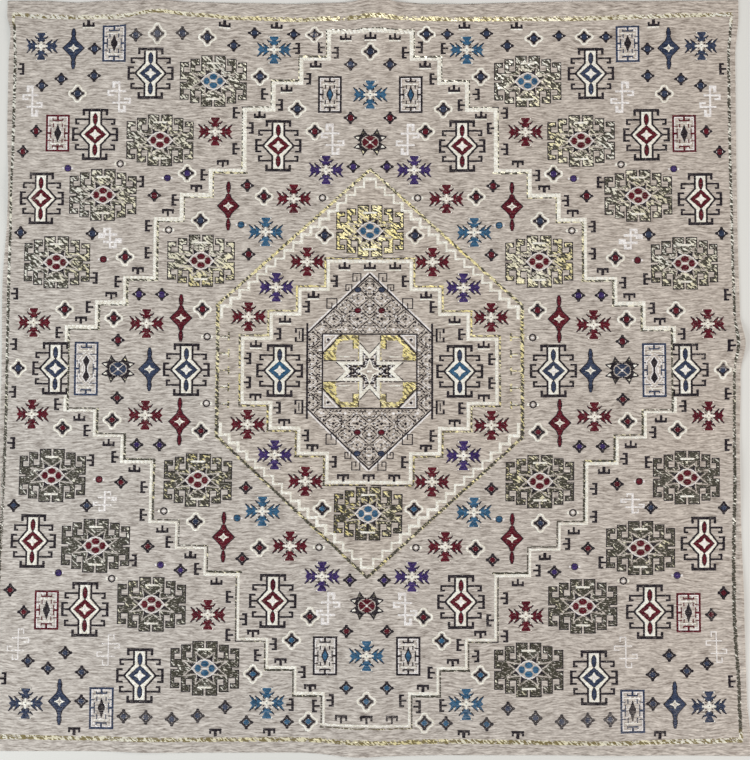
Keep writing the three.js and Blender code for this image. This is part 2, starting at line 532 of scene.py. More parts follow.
    def diamond(self, u: float, v: float, heart: Yarn) -> None:
        """A small dark diamond with knots at its points and a coloured heart."""
        mark = Stamp(self.paper, u, v)
        mark.wedge(DARK, (0, 6.2), (2.4, 3.8), (6.2, 0))
        mark.spot(DARK, 5.4, 0, 1.5, 1.3)
        mark.spot(DARK, 0, 5.4, 1.7, 1.2)
        if self.lit or v == 0:
            mark.spot(PALE, 0, 0, 3.6, 1.8)
            mark.spot(heart, 0, 0, 2.9, 2.9)
        else:
            mark.wedge(GROUND, (0, 3.1), (4, 0))
            mark.wedge(heart, (0, 2.9), (3.4, 0))

    def blossom(self, u: float, v: float, heart: Yarn) -> None:
        """A small diamond in a cream outline of four round bumps."""
        mark = Stamp(self.paper, u, v)
        mark.wedge(CREAM, (0, 9.4), (2.6, 9), (4.2, 5.6), (5.8, 4.2), (9, 2.6), (9.6, 0))
        mark.wedge(GROUND, (0, 7.6), (1.6, 7.2), (3, 4.4), (4.6, 3), (7.2, 1.6), (7.8, 0))
        self.diamond(u, v, heart)

    def knot(self, u: float, v: float, yarn: Yarn) -> None:
        """A dot with a cream speck on both sides."""
        mark = Stamp(self.paper, u, v)
        mark.spot(PALE, 4.4, 0, 1.2, 1.2)
        mark.spot(DARK, 0, 0, 3.6, 3.6)
        mark.spot(yarn, 0, 0, 2.9, 2.9)

    def ring(self, u: float, v: float) -> None:
        """A thin ring with a cream speck on both sides."""
        mark = Stamp(self.paper, u, v)
        mark.spot(CREAM, 4.8, 0, 1.4, 1.6)
        mark.spot(DARK, 0, 0, 3.8, 3.8)
        mark.spot(GROUND, 0, 0, 2.4, 2.4)
        mark.spot(PALE, 0, 0, 1.6, 1.2)

    def burr(self, u: float, v: float, yarn: Yarn) -> None:
        """A burr: four petals parted by a thin saltire, in a ring of eight dark spikes."""
        mark = Stamp(self.paper, u, v)
        spikes = [(0, 7.6), (2.6, 8), (7.2, 14), (9.6, 8), (17.2, 6), (12, 1.2), (9.8, 0)]
        mark.wedge(DARK, *spikes)
        mark.fill(GOLD, [(5.6, 9), (7.2, 11.8), (8.2, 8.6)])
        mark.fill(CREAM, [(10.6, 5.6), (15, 5.2), (12, 2.8)])
        mark.wedge(GROUND, (0, 6.8), (5, 6.4), (8.4, 3.4), (8.8, 0))
        mark.spot(yarn, 4.6, 0, 3.6, 3.4)
        mark.spot(yarn, 0, 4.1, 3.8, 2.6)
        mark.fill(yarn, [(3.2, 5.6), (5.4, 5), (7.4, 3), (6.4, 1.6), (3.6, 2.8)])
        mark.stroke(GROUND, [(0, 0), (6, 5)], 1)
        mark.bar(PALE, 0, 0, 1, 1)

    def gul(self, u: float, v: float, petals: Yarn) -> None:
        """A broad hooked octagon of gold and dark wefts, round a flower in an eight-pointed star."""
        mark = Stamp(self.paper, u, v)
        for half_width, half_height in ((34, 19.5), (23.5, 23), (12.5, 26.5)):
            mark.bar(GOLD, 0, 0, half_width, half_height)
        mark.bars(
            GROUND, (27, 0, 34.5, 1), (23.5, 14, 25, 20), (23.5, 9, 30, 14), (12.5, 16, 14, 23.5),
            (12.5, 10.5, 18.5, 16), (0, 19.5, 1, 27),
        )
        self.paper.rim(GOLD, DARK, (mark.u - 36, mark.v - 28), (mark.u + 36, mark.v + 28))
        mark.bar(CREAM, 0, 17.5, 7, 19.5)
        for arm in ([(22, 7.5), (7.5, 5.5), (12.8, 0)], [(9.5, 15.5), (7.5, 4.5), (0, 8.8)]):
            mark.stroke(GROUND, [*arm, arm[0]], 1.4)
        mark.fill(DARK, [(16.5, 4.6), (8.8, 4.8), (12.4, 1.4)])
        mark.fill(DARK, [(8, 12), (7.2, 5.6), (2.4, 8.8)])
        mark.wedge(PALE, (0, 9), (4.5, 8.2), (9.2, 4.8), (13, 0))
        mark.wedge(GROUND, (0, 8), (4, 7.4), (8.6, 4.2), (12, 0))
        mark.spot(petals, 0, 4.4, 3.9, 3)
        mark.spot(petals, 6.8, 0, 3, 3.7)
        mark.fill(petals, [(7, 3), (10.6, 0), (7, 0)])
        mark.bar(PALE, 0, 0, 3, 0.5)

    def casket(self, u: float, v: float, outline: Yarn, heart: Yarn, half_height: float) -> None:
        """A tall box with a bracket on each inner side and a diamond in its middle.

        Args:
            u: Its middle, across.
            v: Its middle, up.
            outline: The yarn of its outline and brackets.
            heart: The yarn of the diamond.
            half_height: Half its height. A tall one has a dark lozenge above its middle and one below it.
        """
        mark = Stamp(self.paper, u, v)
        mark.bar(outline, 0, 0, 12, half_height)
        mark.bar(PALE, 0, 0, 10, half_height - 2)
        mark.bar(GROUND, 0, 0, 9, half_height - 3)
        mark.bars(
            outline, (0, half_height - 5, 1, half_height), (0, half_height - 6.5, 5.5, half_height - 5),
            (4.5, half_height - 6.5, 5.5, half_height - 4), (6.5, 0, 10, 1), (6.5, 0, 7.5, 5),
            (6.5, 7, 10, 8),
        )
        mark.bar(CREAM, 0, half_height - 9, 7.5, half_height - 8)
        low = (mark.u - 9, mark.v - half_height + 3)
        self.paper.speckle(GROUND, PALE, low, (mark.u + 9, mark.v + half_height - 3), 0.16)
        if half_height > self.TALL_CASKET:
            mark.bar(outline, 3.5, 14, 10, 15)
            mark.stroke(PALE, [(4.5, 12), (7.5, 9), (7.5, 5.5)], 1)
            mark.wedge(PALE, (0, 14.5), (4.8, 8), (2, 2.5), (2, 0))
            mark.wedge(DARK, (0, 13.5), (3.6, 8), (1, 2.5), (1, 0))
            return
        mark.bar(outline, 4, 6, 5, half_height - 9)
        mark.wedge(DARK, (0, 9.5), (1.2, 6), (3.8, 0))
        mark.wedge(heart, (0, 5.5), (2.6, 0))

    def pale_hook(self, u: float, v: float, half_height: float, thick: float) -> None:
        """A pale upright rod with two bars through it, all their ends hooked, the same either way up.

        Args:
            u: Its middle, across.
            v: Its middle, up.
            half_height: Half the rod's height.
            thick: The width of its lines.
        """
        tall = half_height / self.HOOK_HALF_HEIGHT
        lines = ([(0, 0), (0, 14.5), (5.5, 14.5), (5.5, 10.5)], [(-6, 6), (11, 6), (11, 2), (6.5, 2)])
        for way in (1, -1):
            for line in lines:
                self.paper.stroke(PALE, [(u + way * a, v + way * b * tall) for a, b in line], thick)


@dataclass
class Quarter:
    """The chart of a quarter of the pattern, which the other quarters mirror."""

    upper: bool
    half_width: float = 369.0
    half_height: float = 364.0
    border: Point = (366.5, 361.0)
    light_hearts: float = 130.0
    motifs: Motifs = field(init=False)
    paper: PointPaper = field(init=False)

    def __post_init__(self) -> None:
        """Lays out the empty chart."""
        self.paper = PointPaper(self.half_width, self.half_height)
        self.motifs = Motifs(self.paper, self.upper)

    def draw(self) -> np.ndarray:
        """Draws the whole quarter.

        Returns:
            Its yarn codes, rows from the cloth's middle outwards.
        """
        self.draw_border()
        self.draw_inner_steps()
        self.draw_octagon()
        self.draw_field()
        self.draw_star()
        self.draw_outer_steps()
        self.draw_medallions()
        self.draw_sprigs()
        return self.paper.codes

    def draw_border(self) -> None:
        """The gold line along the hem, and the latch hooks on it."""
        across, up = self.border
        self.paper.bars(GOLD, (0, up - 2, across + 1.5, up + 2), (across - 1.5, 0, across + 1.5, up + 2))
        inset = 9.5
        self.latches(Facing.UP, *((u, up - inset) for u in (95.5, 148.5, 287.5)), lit=self.upper)
        self.latches(Facing.OUT, *((across - inset, v) for v in (24, 75, 305)))

    def latches(self, facing: Facing, *places: Point, lit: bool = False) -> None:
        """Draws a latch hook at each place."""
        for u, v in places:
            self.motifs.latch(u, v, facing, lit)

    def draw_gold_band(self, line: Sequence[Point], shift: float) -> None:
        """The thin gold band beside a stepped line, shifted from it both across and up."""
        self.paper.stroke(GOLD, [(u + shift, v + shift) for u, v in line], 1.5)

    def draw_outer_steps(self) -> None:
        """The great stepped line round the medallion, with its hooks."""
        columns = (42, 70, 98, 127, 161, 190, 216.5, 246.5, 274.5, 304.5)
        rows = (346, 317.5, 292.5, 265, 202.5, 177, 152, 92.5, 67, 42)
        corners: list[Point] = [(0, rows[0])]
        for column, row, lower in zip(columns, rows, (*rows[1:], 0)):
            corners += [(column, row), (column, lower)]
        turn = corners.index((127, 202.5)) + 1
        self.draw_gold_band(corners[:turn], 2.5)
        self.draw_gold_band(corners[turn - 1:], -2.5)
        self.paper.stroke(CREAM, corners, 3.5 if self.upper else 2.5)
        self.latches(
            Facing.UP, (0, 337.8), (25, 337.8), (55.5, 309.3), (84.8, 284.3), (112.2, 257), lit=self.upper
        )
        self.latches(
            Facing.OUT, (33, 324), (61, 297), (89.3, 270), (119, 245.8), (72.5, 328.3), (229.5, 190),
            (275, 91.5),
        )
        self.latches(
            Facing.IN, (52.5, 329.3), (110, 281), (138.5, 261.3), (138.5, 224.3), (170.6, 197.5),
            (199.5, 171.5), (226, 145), (226, 117.5), (256, 88), (284.5, 62), (314.4, 36),
        )
        self.latches(
            Facing.DOWN, (149, 212), (175.5, 186.6), (204, 161.5), (233.5, 102), (260, 76.3), (290.2, 51.5)
        )

    def draw_inner_steps(self) -> None:
        """The lesser stepped line inside the octagon, with its hooks."""
        corners = [
            (0, 110.5), (41.5, 110.5), (41.5, 82), (70, 82), (70, 57), (98.5, 57), (98.5, 32), (127, 32),
            (127, 0),
        ]
        self.draw_gold_band(corners, 3.25)
        self.paper.stroke(CREAM, corners, 3)
        self.latches(Facing.UP, (0, 103.4), (25.3, 103.4), (56.5, 74), (85, 49), (114, 24), lit=self.upper)
        self.latches(Facing.OUT, (33, 90.5), (61, 64.5), (89.5, 37), (119.5, 12))

    def draw_octagon(self) -> None:
        """The gold line of the long octagon, the cream zigzag inside it and its side hooks."""
        side, shoulder, apex = 152.5, 66.0, 204.3
        self.paper.stroke(GOLD, [(side, 0), (side, shoulder), (0, apex)], 2.5)
        start, pitch, drop, steps = 6.0, 8.9, 8.09, 16
        top, first, foot = 194.5, 186, 53
        corners: list[Point] = [(0, top), (start, top)]
        for step in range(steps):
            level = first - drop * step
            corners += [(start + pitch * step, level), (start + pitch * (step + 1), level)]
        corners.append((start + pitch * steps, foot))
        rounded = [(round(u / CELL) * CELL, round(v / CELL) * CELL) for u, v in corners]
        self.paper.stroke(CREAM, rounded, 2.5)
        for v in (0, 17, 34):
            self.paper.bars(GOLD, (141, v - 0.5, side, v + 0.5), (140.5, v - 4, 142, v + 4))
            self.paper.bar(CREAM, 142, v - 1.5, 148, v - 0.5)

    def draw_field(self) -> None:
        """The lattice of small diamonds, the diamond round it, its side posts and its box spirals."""
        paper = self.paper
        rows, columns = paper.window((0, 0), (63, 98))
        u, v = paper.u[None, columns], paper.v[rows, None]
        within = (v < 96 - 0.967 * u) & ((u > 48) | (v > 38.5)) & ((u < 62) | (v < 40))
        pitch_u, pitch_v = 12.0, 10.5
        across = np.abs((u / pitch_u) % 2 - 1)
        up = np.abs((v / pitch_v) % 2 - 1)
        reach = across + up
        fleck = (np.abs((u / 4.0) % 2 - 1) + np.abs((v / 3.5) % 2 - 1)) * 0.5
        chance = grain(23, *within.shape)
        layers = (
            (DARK, (np.abs(reach - 1) < 0.06) & (np.abs(across - up) < 0.82)),
            (PALE, (np.abs(reach - 0.62) < 0.05) & ((u + v) % 2 < 1.5)),
            (DARK, reach < 0.16),
            (PALE, reach > 1.84),
            (DARK, (np.abs(reach - 1.38) < 0.05) & ((u - v) % 3 < 1.6)),
            (DARK, fleck < 0.14),
            (PALE, fleck > 0.88),
            (DARK, chance < 0.14),
            (PALE, chance > 0.95),
        )
        for yarn, shown in layers:
            paper.paint(yarn, rows, columns, within & shown)
        for v_dot, yarn in ((61, RED), (82, NAVY)):
            paper.spot(DARK, 12, v_dot, 3.6, 3)
            paper.spot(yarn, 12, v_dot, 2.8, 2.3)
        paper.stroke(PALE, [(1, 99), (62, 40)], 1.4)
        paper.stroke(DARK, [(0, 97.8), (62.5, 37.4)], 1.5)
        paper.bar(DARK, 61.5, 0, 63.5, 48)
        for u0, v0, size in ((13, 94.5, 4), (38, 68, 5), (21, 84, 3)):
            spiral = [(u0 - size, v0 - size), (u0 - size, v0 + size), (u0 + size, v0 + size)]
            spiral += [(u0 + size, v0 - size), (u0, v0 - size), (u0, v0)]
            paper.stroke(DARK, spiral, 1)
        bracket = [(74, 39), (74, 42.5), (67, 42.5), (67, 29.5), (74, 29.5), (74, 33)]
        paper.stroke(DARK, bracket, 1.5)
        paper.stroke(DARK, [(70.5, 39), (70.5, 33)], 1.5)
        paper.bar(DARK, 63.5, 35.5, 67, 36.5)

    def draw_star(self) -> None:
        """The square at the heart, its gold corners and the eight-pointed star."""
        mark = Stamp(self.paper, 0, 0)
        mark.bar(DARK, 0, 0, 48, 38)
        mark.bar(GROUND, 0, 0, 46.5, 36.5)
        mark.fill(PALE, [(46.5, 20), (46.5, 36.5), (31, 36.5)])
        mark.fill(GROUND, [(45.5, 23), (45.5, 35.5), (34, 35.5)])
        mark.fill(PALE, [(43.5, 28), (43.5, 33.5), (38.5, 33.5)])
        mark.spot(DARK, 41.5, 31.5, 1.6, 1.4)
        mark.stroke(DARK, [(47, 17), (28, 37)], 1.8)
        mark.fill(GOLD, [(11, 36), (28, 36), (46, 17), (46, 10.5), (11, 10.5)])
        mark.bars(GROUND, (11.5, 10.5, 16.5, 23), (16, 10.5, 33.5, 31))
        mark.fill(GOLD, [(34, 31.5), (34, 25), (27.5, 31.5)])
        mark.bar(CREAM, 20, 14, 31, 15)
        mark.bars(DARK, (11, 10, 46, 11), (16, 22, 17, 31), (10.5, 30, 11.5, 36))
        mark.wedge(DARK, (0, 18), (9.8, 29), (9.8, 9), (34.5, 9), (23.5, 0))
        mark.wedge(CREAM, (0, 17), (10, 28), (10, 9.5), (33.5, 9.5), (24, 0))
        mark.wedge(DARK, (0, 12.5), (6.8, 20), (6.8, 6.4), (25.5, 6.4), (18.5, 0))
        mark.bars(PALE, (3, 8, 4.5, 9), (14, 3, 16, 3.5), (4.5, 14, 6, 15), (19.5, 4, 21.5, 5))
        mark.bar(GOLD, 9, 4.5, 12, 5)
        self.paper.speckle(DARK, GROUND, (0, 0), (25, 19.5), 0.22)
        self.paper.speckle(DARK, PALE, (0, 0), (25, 19.5), 0.16)
        mark.wedge(CREAM, (0, 13), (3.8, 4.2), (12.5, 0))
        mark.wedge(GROUND, (0, 10.5), (2.8, 3), (9.5, 0))
        mark.bar(CREAM, 0, 0, 2.5, 1)

    def draw_medallions(self) -> None:
        """The hooked octagons, medallions and boxes."""
        motifs = self.motifs
        guls = {
            SKY: ((159.5, 294), (0, 141.5)),
            RED: ((213, 232.5), (270, 176), (316, 107), (170, 110)),
        }
        for yarn, places in guls.items():
            for u, v in places:
                motifs.gul(u, v, yarn)
        medallions = (
            (223.5, 301.5, NAVY), (279, 238, RED), (333, 172, RED), (93, 228, RED),
            (315, 0, NAVY), (183.5, 0, NAVY), (90, 0, SKY),
        )
        for u, v, ring in medallions:
            motifs.medallion(u, v, ring, RED if ring == RED else NAVY)
        # The outermost medallion of the middle row is cut short at the stepped line's gold band.
        self.paper.bar(GROUND, 291, 0, 301, 28)
        self.paper.bar(GOLD, 301, 0, 302.5, 42)
        motifs.casket(261, 332.5, NAVY, DARK, 19.5)
        motifs.casket(317, 239, RED, DARK, 19)
        motifs.casket(41, 281, DARK, SKY, 19)
        motifs.casket(284, 0, NAVY, SKY, 27)

    def heart(self, u: float, yarn: Yarn) -> Yarn:
        """The yarn of a diamond's heart: navy is a lighter blue near the middle of the lower half."""
        return SKY if yarn == NAVY and not self.upper and u < self.light_hearts else yarn

    def draw_sprigs(self) -> None:
        """The crosses, spindles, diamonds, dots, rings, burrs and pale hooks between them."""
        motifs = self.motifs
        crosses = {
            NAVY: ((336, 329),),
            SKY: ((98, 327), (0, 281), (105, 140)),
            RED: ((157, 242), (77, 174), (63, 110), (121.5, 54), (338, 46), (224, 46)),
            PURPLE: ((44.3, 203.5), (94, 84)),
        }
        diamonds = {
            NAVY: (
                (281, 326.5), (314.5, 295), (334.5, 288), (281, 298.5), (239, 340), (191.5, 342), (139, 331),
                (118, 345), (78, 344.5), (20, 312), (355, 137), (280, 136.3),
            ),
            RED: ((340, 241), (355, 220), (218, 176), (20, 257), (124, 187), (122, 117), (252.5, 29)),
            PURPLE: ((232, 75.3), (209, 75.3), (17, 206.8)),
        }
        blossoms = {
            NAVY: (
                (297.5, 280), (217, 340.5), (166, 339), (57, 344), (112, 299), (74, 266), (0, 325),
                (171, 151), (45.5, 137),
            ),
            RED: ((56, 243), (107, 176), (246.5, 113), (306.3, 59.5), (257, 51), (168, 61)),
            PURPLE: ((185, 199),),
        }
        # These have no cream outline in the lower half.
        plain_below = {(297.5, 280), (185, 199), (217, 340.5), (166, 339), (246.5, 113)}
        for yarn, places in crosses.items():
            for u, v in places:
                motifs.cross(u, v, yarn)
        for yarn, places in diamonds.items():
            for u, v in places:
                motifs.diamond(u, v, self.heart(u, yarn))
        for yarn, places in blossoms.items():
            for u, v in places:
                plain = not self.upper and (u, v) in plain_below
                (motifs.diamond if plain else motifs.blossom)(u, v, self.heart(u, yarn))
        motifs.blossom(354, 0, NAVY)
        for u, v, yarn in ((306, 203, PURPLE), (205, 194, PURPLE), (268.5, 110.7, RED), (130, 147, SKY)):
            motifs.knot(u, v, yarn)
        for u, v in ((253, 208), (48, 175), (203, 141), (163, 33.5)):
            motifs.ring(u, v)
        spindles = ((302.5, 327, NAVY, 22), (143, 166, RED, 25), (189.5, 52, RED, 24), (220.5, 0, NAVY, 22))
        for u, v, yarn, reach in spindles:
            motifs.spindle(u, v, yarn, reach)
        motifs.burr(252, 0, NAVY)
        motifs.burr(0, 232, RED)
        # The pale hooks near the lower corners are faint, so their lines are thinner there.
        thick = 2.5
        hooks = ((345, 272, 15.5, 1), (255, 277, 15.5, 1), (38, 235, 15.5, thick), (262, 132, 10, 1.5))
        for u, v, half_height, below in hooks:
            motifs.pale_hook(u, v, half_height, thick if self.upper else below)


class Chart:
    """The whole point paper: two quarters, upper and lower, each with its mirror image."""

    def __init__(self) -> None:
        """Draws both quarters and puts the halves together."""
        upper, lower = Quarter(upper=True).draw(), Quarter(upper=False).draw()
        top = np.hstack([upper[:, ::-1], upper])
        bottom = np.hstack([lower[:, ::-1], lower])
        self.codes = np.vstack([bottom[::-1], top])

    def floats(self, yarn: Yarn, longest: int, seed: int) -> np.ndarray:
        """Cuts a yarn's runs into floats, bound in a different place on each pick.

        Args:
            yarn: The yarn.
            longest: The most cells that one float passes over.
            seed: The seed for where the picks are bound.

        Returns:
            One row for each float: its middle across and up, its length and its width, in chart units.
        """
        shown = self.codes == yarn
        rows, columns = shown.shape
        bound = np.random.default_rng(seed).integers(0, longest, rows // 2).repeat(2)[:, None]
        cut = (np.arange(columns + 1)[None, :] + bound) % longest == 0
        padded = np.pad(shown, ((0, 0), (1, 1)))
        starts = shown & (~padded[:, :-2] | cut[:, :-1])
        ends = shown & (~padded[:, 2:] | cut[:, 1:])
        row, first = np.nonzero(starts)
        last = np.nonzero(ends)[1]
        place = ((row // 2) * columns + first) * columns + last
        _, index, count = np.unique(place, return_index=True, return_counts=True)
        row, first, last = row[index], first[index], last[index]
        across = ((first + last + 1) / 2 - columns / 2) * CELL
        up = (row + count / 2 - rows / 2) * CELL
        return np.stack([across, up, (last - first + 1) * CELL, count * CELL], axis=1)


class Tree:
    """A node tree being built: it adds nodes, sets their plain values and joins their sockets."""

    def __init__(self, tree: bpy.types.NodeTree) -> None:
        """Keeps the tree."""
        self.tree = tree

    def add(self, kind: str, inputs: dict[str | int, Any] | None = None, **settings: Any) -> bpy.types.Node:
        """Adds a node.

        Args:
            kind: The node's type.
            inputs: Its inputs by name or place, each a plain value or the socket that feeds it.
            settings: The node's own settings.

        Returns:
            The node.
        """
        node = self.tree.nodes.new(kind)
        for name, value in settings.items():
            setattr(node, name, value)
        for name, value in (inputs or {}).items():
            if isinstance(value, bpy.types.NodeSocket):
                self.tree.links.new(value, node.inputs[name])
            else:
                node.inputs[name].default_value = value
        return node

    def put(
        self, kind: str, inputs: dict[str | int, Any] | None = None, **settings: Any
    ) -> bpy.types.NodeSocket:
        """Adds a node and returns its first output."""
        return self.add(kind, inputs, **settings).outputs[0]

    def math(self, operation: str, a: Any, b: Any) -> bpy.types.NodeSocket:
        """Adds a Math node and returns its output."""
        return self.put("ShaderNodeMath", {0: a, 1: b}, operation=operation)

    def vector(self, operation: str, a: Any, b: Any) -> bpy.types.NodeSocket:
        """Adds a Vector Math node and returns its output."""
        return self.put("ShaderNodeVectorMath", {0: a, 1: b}, operation=operation)

    def swing(self, value: Any, size: float) -> bpy.types.NodeSocket:
        """Makes a value from 0 to 1 swing about 0, and scales it."""
        return self.math("MULTIPLY", self.math("SUBTRACT", value, 0.5), size)

    def clamp(self, value: Any) -> bpy.types.NodeSocket:
        """Keeps a value from 0 to 1."""
        return self.put("ShaderNodeClamp", {0: value})

    def ramp(
        self, value: Any, start: float, end: float, low: float = 0.0, high: float = 1.0
    ) -> bpy.types.NodeSocket:
        """Maps a value evenly from start to end onto low to high, and keeps it there beyond them."""
        return self.put("ShaderNodeMapRange", {0: value, 1: start, 2: end, 3: low, 4: high})

    def shade(self) -> bpy.types.NodeSocket:
        """The float's own shade, from 0 to 1, as its piece stores it."""
        return self.add("ShaderNodeAttribute", attribute_name=SHADE).outputs["Fac"]

    def place(self) -> bpy.types.NodeSocket:
        """The place on the cloth, in metres."""
        return self.add("ShaderNodeTexCoord").outputs["Object"]

    def feed(self, node: bpy.types.Node, sockets: dict[str, bpy.types.NodeSocket]) -> None:
        """Joins sockets to a node's inputs."""
        for name, socket in sockets.items():
            self.tree.links.new(socket, node.inputs[name])

    def blend(self, factor: Any, a: Any, b: Any, mode: str = "MIX") -> bpy.types.NodeSocket:
        """Adds a Mix node for two colours and returns its output."""
        node = self.add("ShaderNodeMix", {0: factor, 6: a, 7: b}, data_type="RGBA", blend_type=mode)
        return node.outputs[2]

    def noise(self, vector: Any, scale: float, detail: float = 2.0) -> bpy.types.Node:
        """Adds a Noise Texture."""
        return self.add("ShaderNodeTexNoise", {"Vector": vector, "Scale": scale, "Detail": detail})


def new_group(name: str, inputs: Sequence[tuple[str, str, Any]], outputs: Sequence[tuple[str, str]]) -> Tree:
    """Starts a shader node group with named sockets.

    Args:
        name: The group's name.
        inputs: The name, socket type and plain value of each input.
        outputs: The name and socket type of each output.

    Returns:
        The group's tree, with no nodes in it.
    """
    group = bpy.data.node_groups.new(name, "ShaderNodeTree")
    for label, kind, value in inputs:
        group.interface.new_socket(label, in_out="INPUT", socket_type=kind).default_value = value
    for label, kind in outputs:
        group.interface.new_socket(label, in_out="OUTPUT", socket_type=kind)
    return Tree(group)


def srgb(red: float, green: float, blue: float) -> tuple[float, float, float, float]:
    """Turns a colour as a screen shows it, 0 to 255, into the linear one that shaders use."""
    parts = [c / 255 for c in (red, green, blue)]
    linear = [p / 12.92 if p <= 0.04045 else ((p + 0.055) / 1.055) ** 2.4 for p in parts]
    return (*linear, 1.0)


class HeatherGroup:
    """The streaks of a melange weft, which run across the cloth in uneven dashes."""

    NAME = "heather streaks"
    WANDER = 0.02
    PICK = (0.005, 0.0011, 1.0)
    FINER = (2.3, 2.1, 1.0)

    def build(self) -> bpy.types.NodeTree:
        """Builds the group.

        Returns:
            A group that gives a shade from 0 to 1 and a height.
        """
        tree = new_group(
            self.NAME,
            [
                ("Vector", "NodeSocketVector", (0, 0, 0)),
                ("Streak Length", "NodeSocketFloat", 0.03),
                ("Streak Pitch", "NodeSocketFloat", 0.005),
                ("Contrast", "NodeSocketFloat", 2.0),
            ],
            [("Shade", "NodeSocketFloat"), ("Height", "NodeSocketFloat")],
        )
        given = tree.add("NodeGroupInput").outputs
        drift = tree.noise(given["Vector"], 14.0, 2.0).outputs["Color"]
        drift = tree.vector("SUBTRACT", drift, (0.5, 0.5, 0.5))
        drift = tree.vector("MULTIPLY", drift, (0.0, self.WANDER, 0.0))
        moved = tree.vector("ADD", given["Vector"], drift)
        length, pitch = given["Streak Length"], given["Streak Pitch"]
        size = tree.put("ShaderNodeCombineXYZ", {0: length, 1: pitch, 2: 1.0})
        scaled = tree.vector("DIVIDE", moved, size)
        broad = tree.noise(scaled, 1.0, 2.0).outputs[0]
        fine = tree.noise(tree.vector("MULTIPLY", scaled, self.FINER), 1.0, 1.0).outputs[0]
        picks = tree.noise(tree.vector("DIVIDE", given["Vector"], self.PICK), 1.0, 0.0).outputs[0]
        streaks = tree.swing(broad, given["Contrast"])
        dashes = tree.swing(fine, 0.9)
        threads = tree.swing(picks, 0.5)
        total = tree.math("ADD", tree.math("ADD", streaks, dashes), threads)
        shade = tree.clamp(tree.math("ADD", total, 0.5))
        height = tree.math("ADD", tree.math("MULTIPLY", picks, 0.6), tree.math("MULTIPLY", fine, 0.4))
        tree.add("NodeGroupOutput", {"Shade": shade, "Height": height})
        return tree.tree


class YarnGroup:
    """The body of a yarn: floats that differ a little from one another, and the twist along them."""

    NAME = "yarn body"
    SLANT = math.radians(35)

    def build(self) -> bpy.types.NodeTree:
        """Builds the group.

        Returns:
            A group that gives a colour and a height.
        """
        tree = new_group(
            self.NAME,
            [
                ("Vector", "NodeSocketVector", (0, 0, 0)),
                ("Shade", "NodeSocketFloat", 0.5),
                ("Low Colour", "NodeSocketColor", (0, 0, 0, 1)),
                ("High Colour", "NodeSocketColor", (1, 1, 1, 1)),
                ("Twist Pitch", "NodeSocketFloat", 0.0012),
            ],
            [("Colour", "NodeSocketColor"), ("Height", "NodeSocketFloat")],
        )
        given = tree.add("NodeGroupInput").outputs
        wear = tree.noise(given["Vector"], 30.0, 3.0).outputs[0]
        turned = tree.put("ShaderNodeMapping", {"Vector": given["Vector"], "Rotation": (0, 0, self.SLANT)})
        scaled = tree.vector("DIVIDE", turned, given["Twist Pitch"])
        twist = tree.add("ShaderNodeTexWave", {"Vector": scaled, "Scale": 0.32}).outputs["Fac"]
        lift = tree.swing(wear, 0.7)
        level = tree.math("ADD", tree.math("MULTIPLY", given["Shade"], 0.8), lift)
        level = tree.clamp(tree.math("ADD", level, 0.1))
        colour = tree.blend(level, given["Low Colour"], given["High Colour"])
        tree.add("NodeGroupOutput", {"Colour": colour, "Height": twist})
        return tree.tree


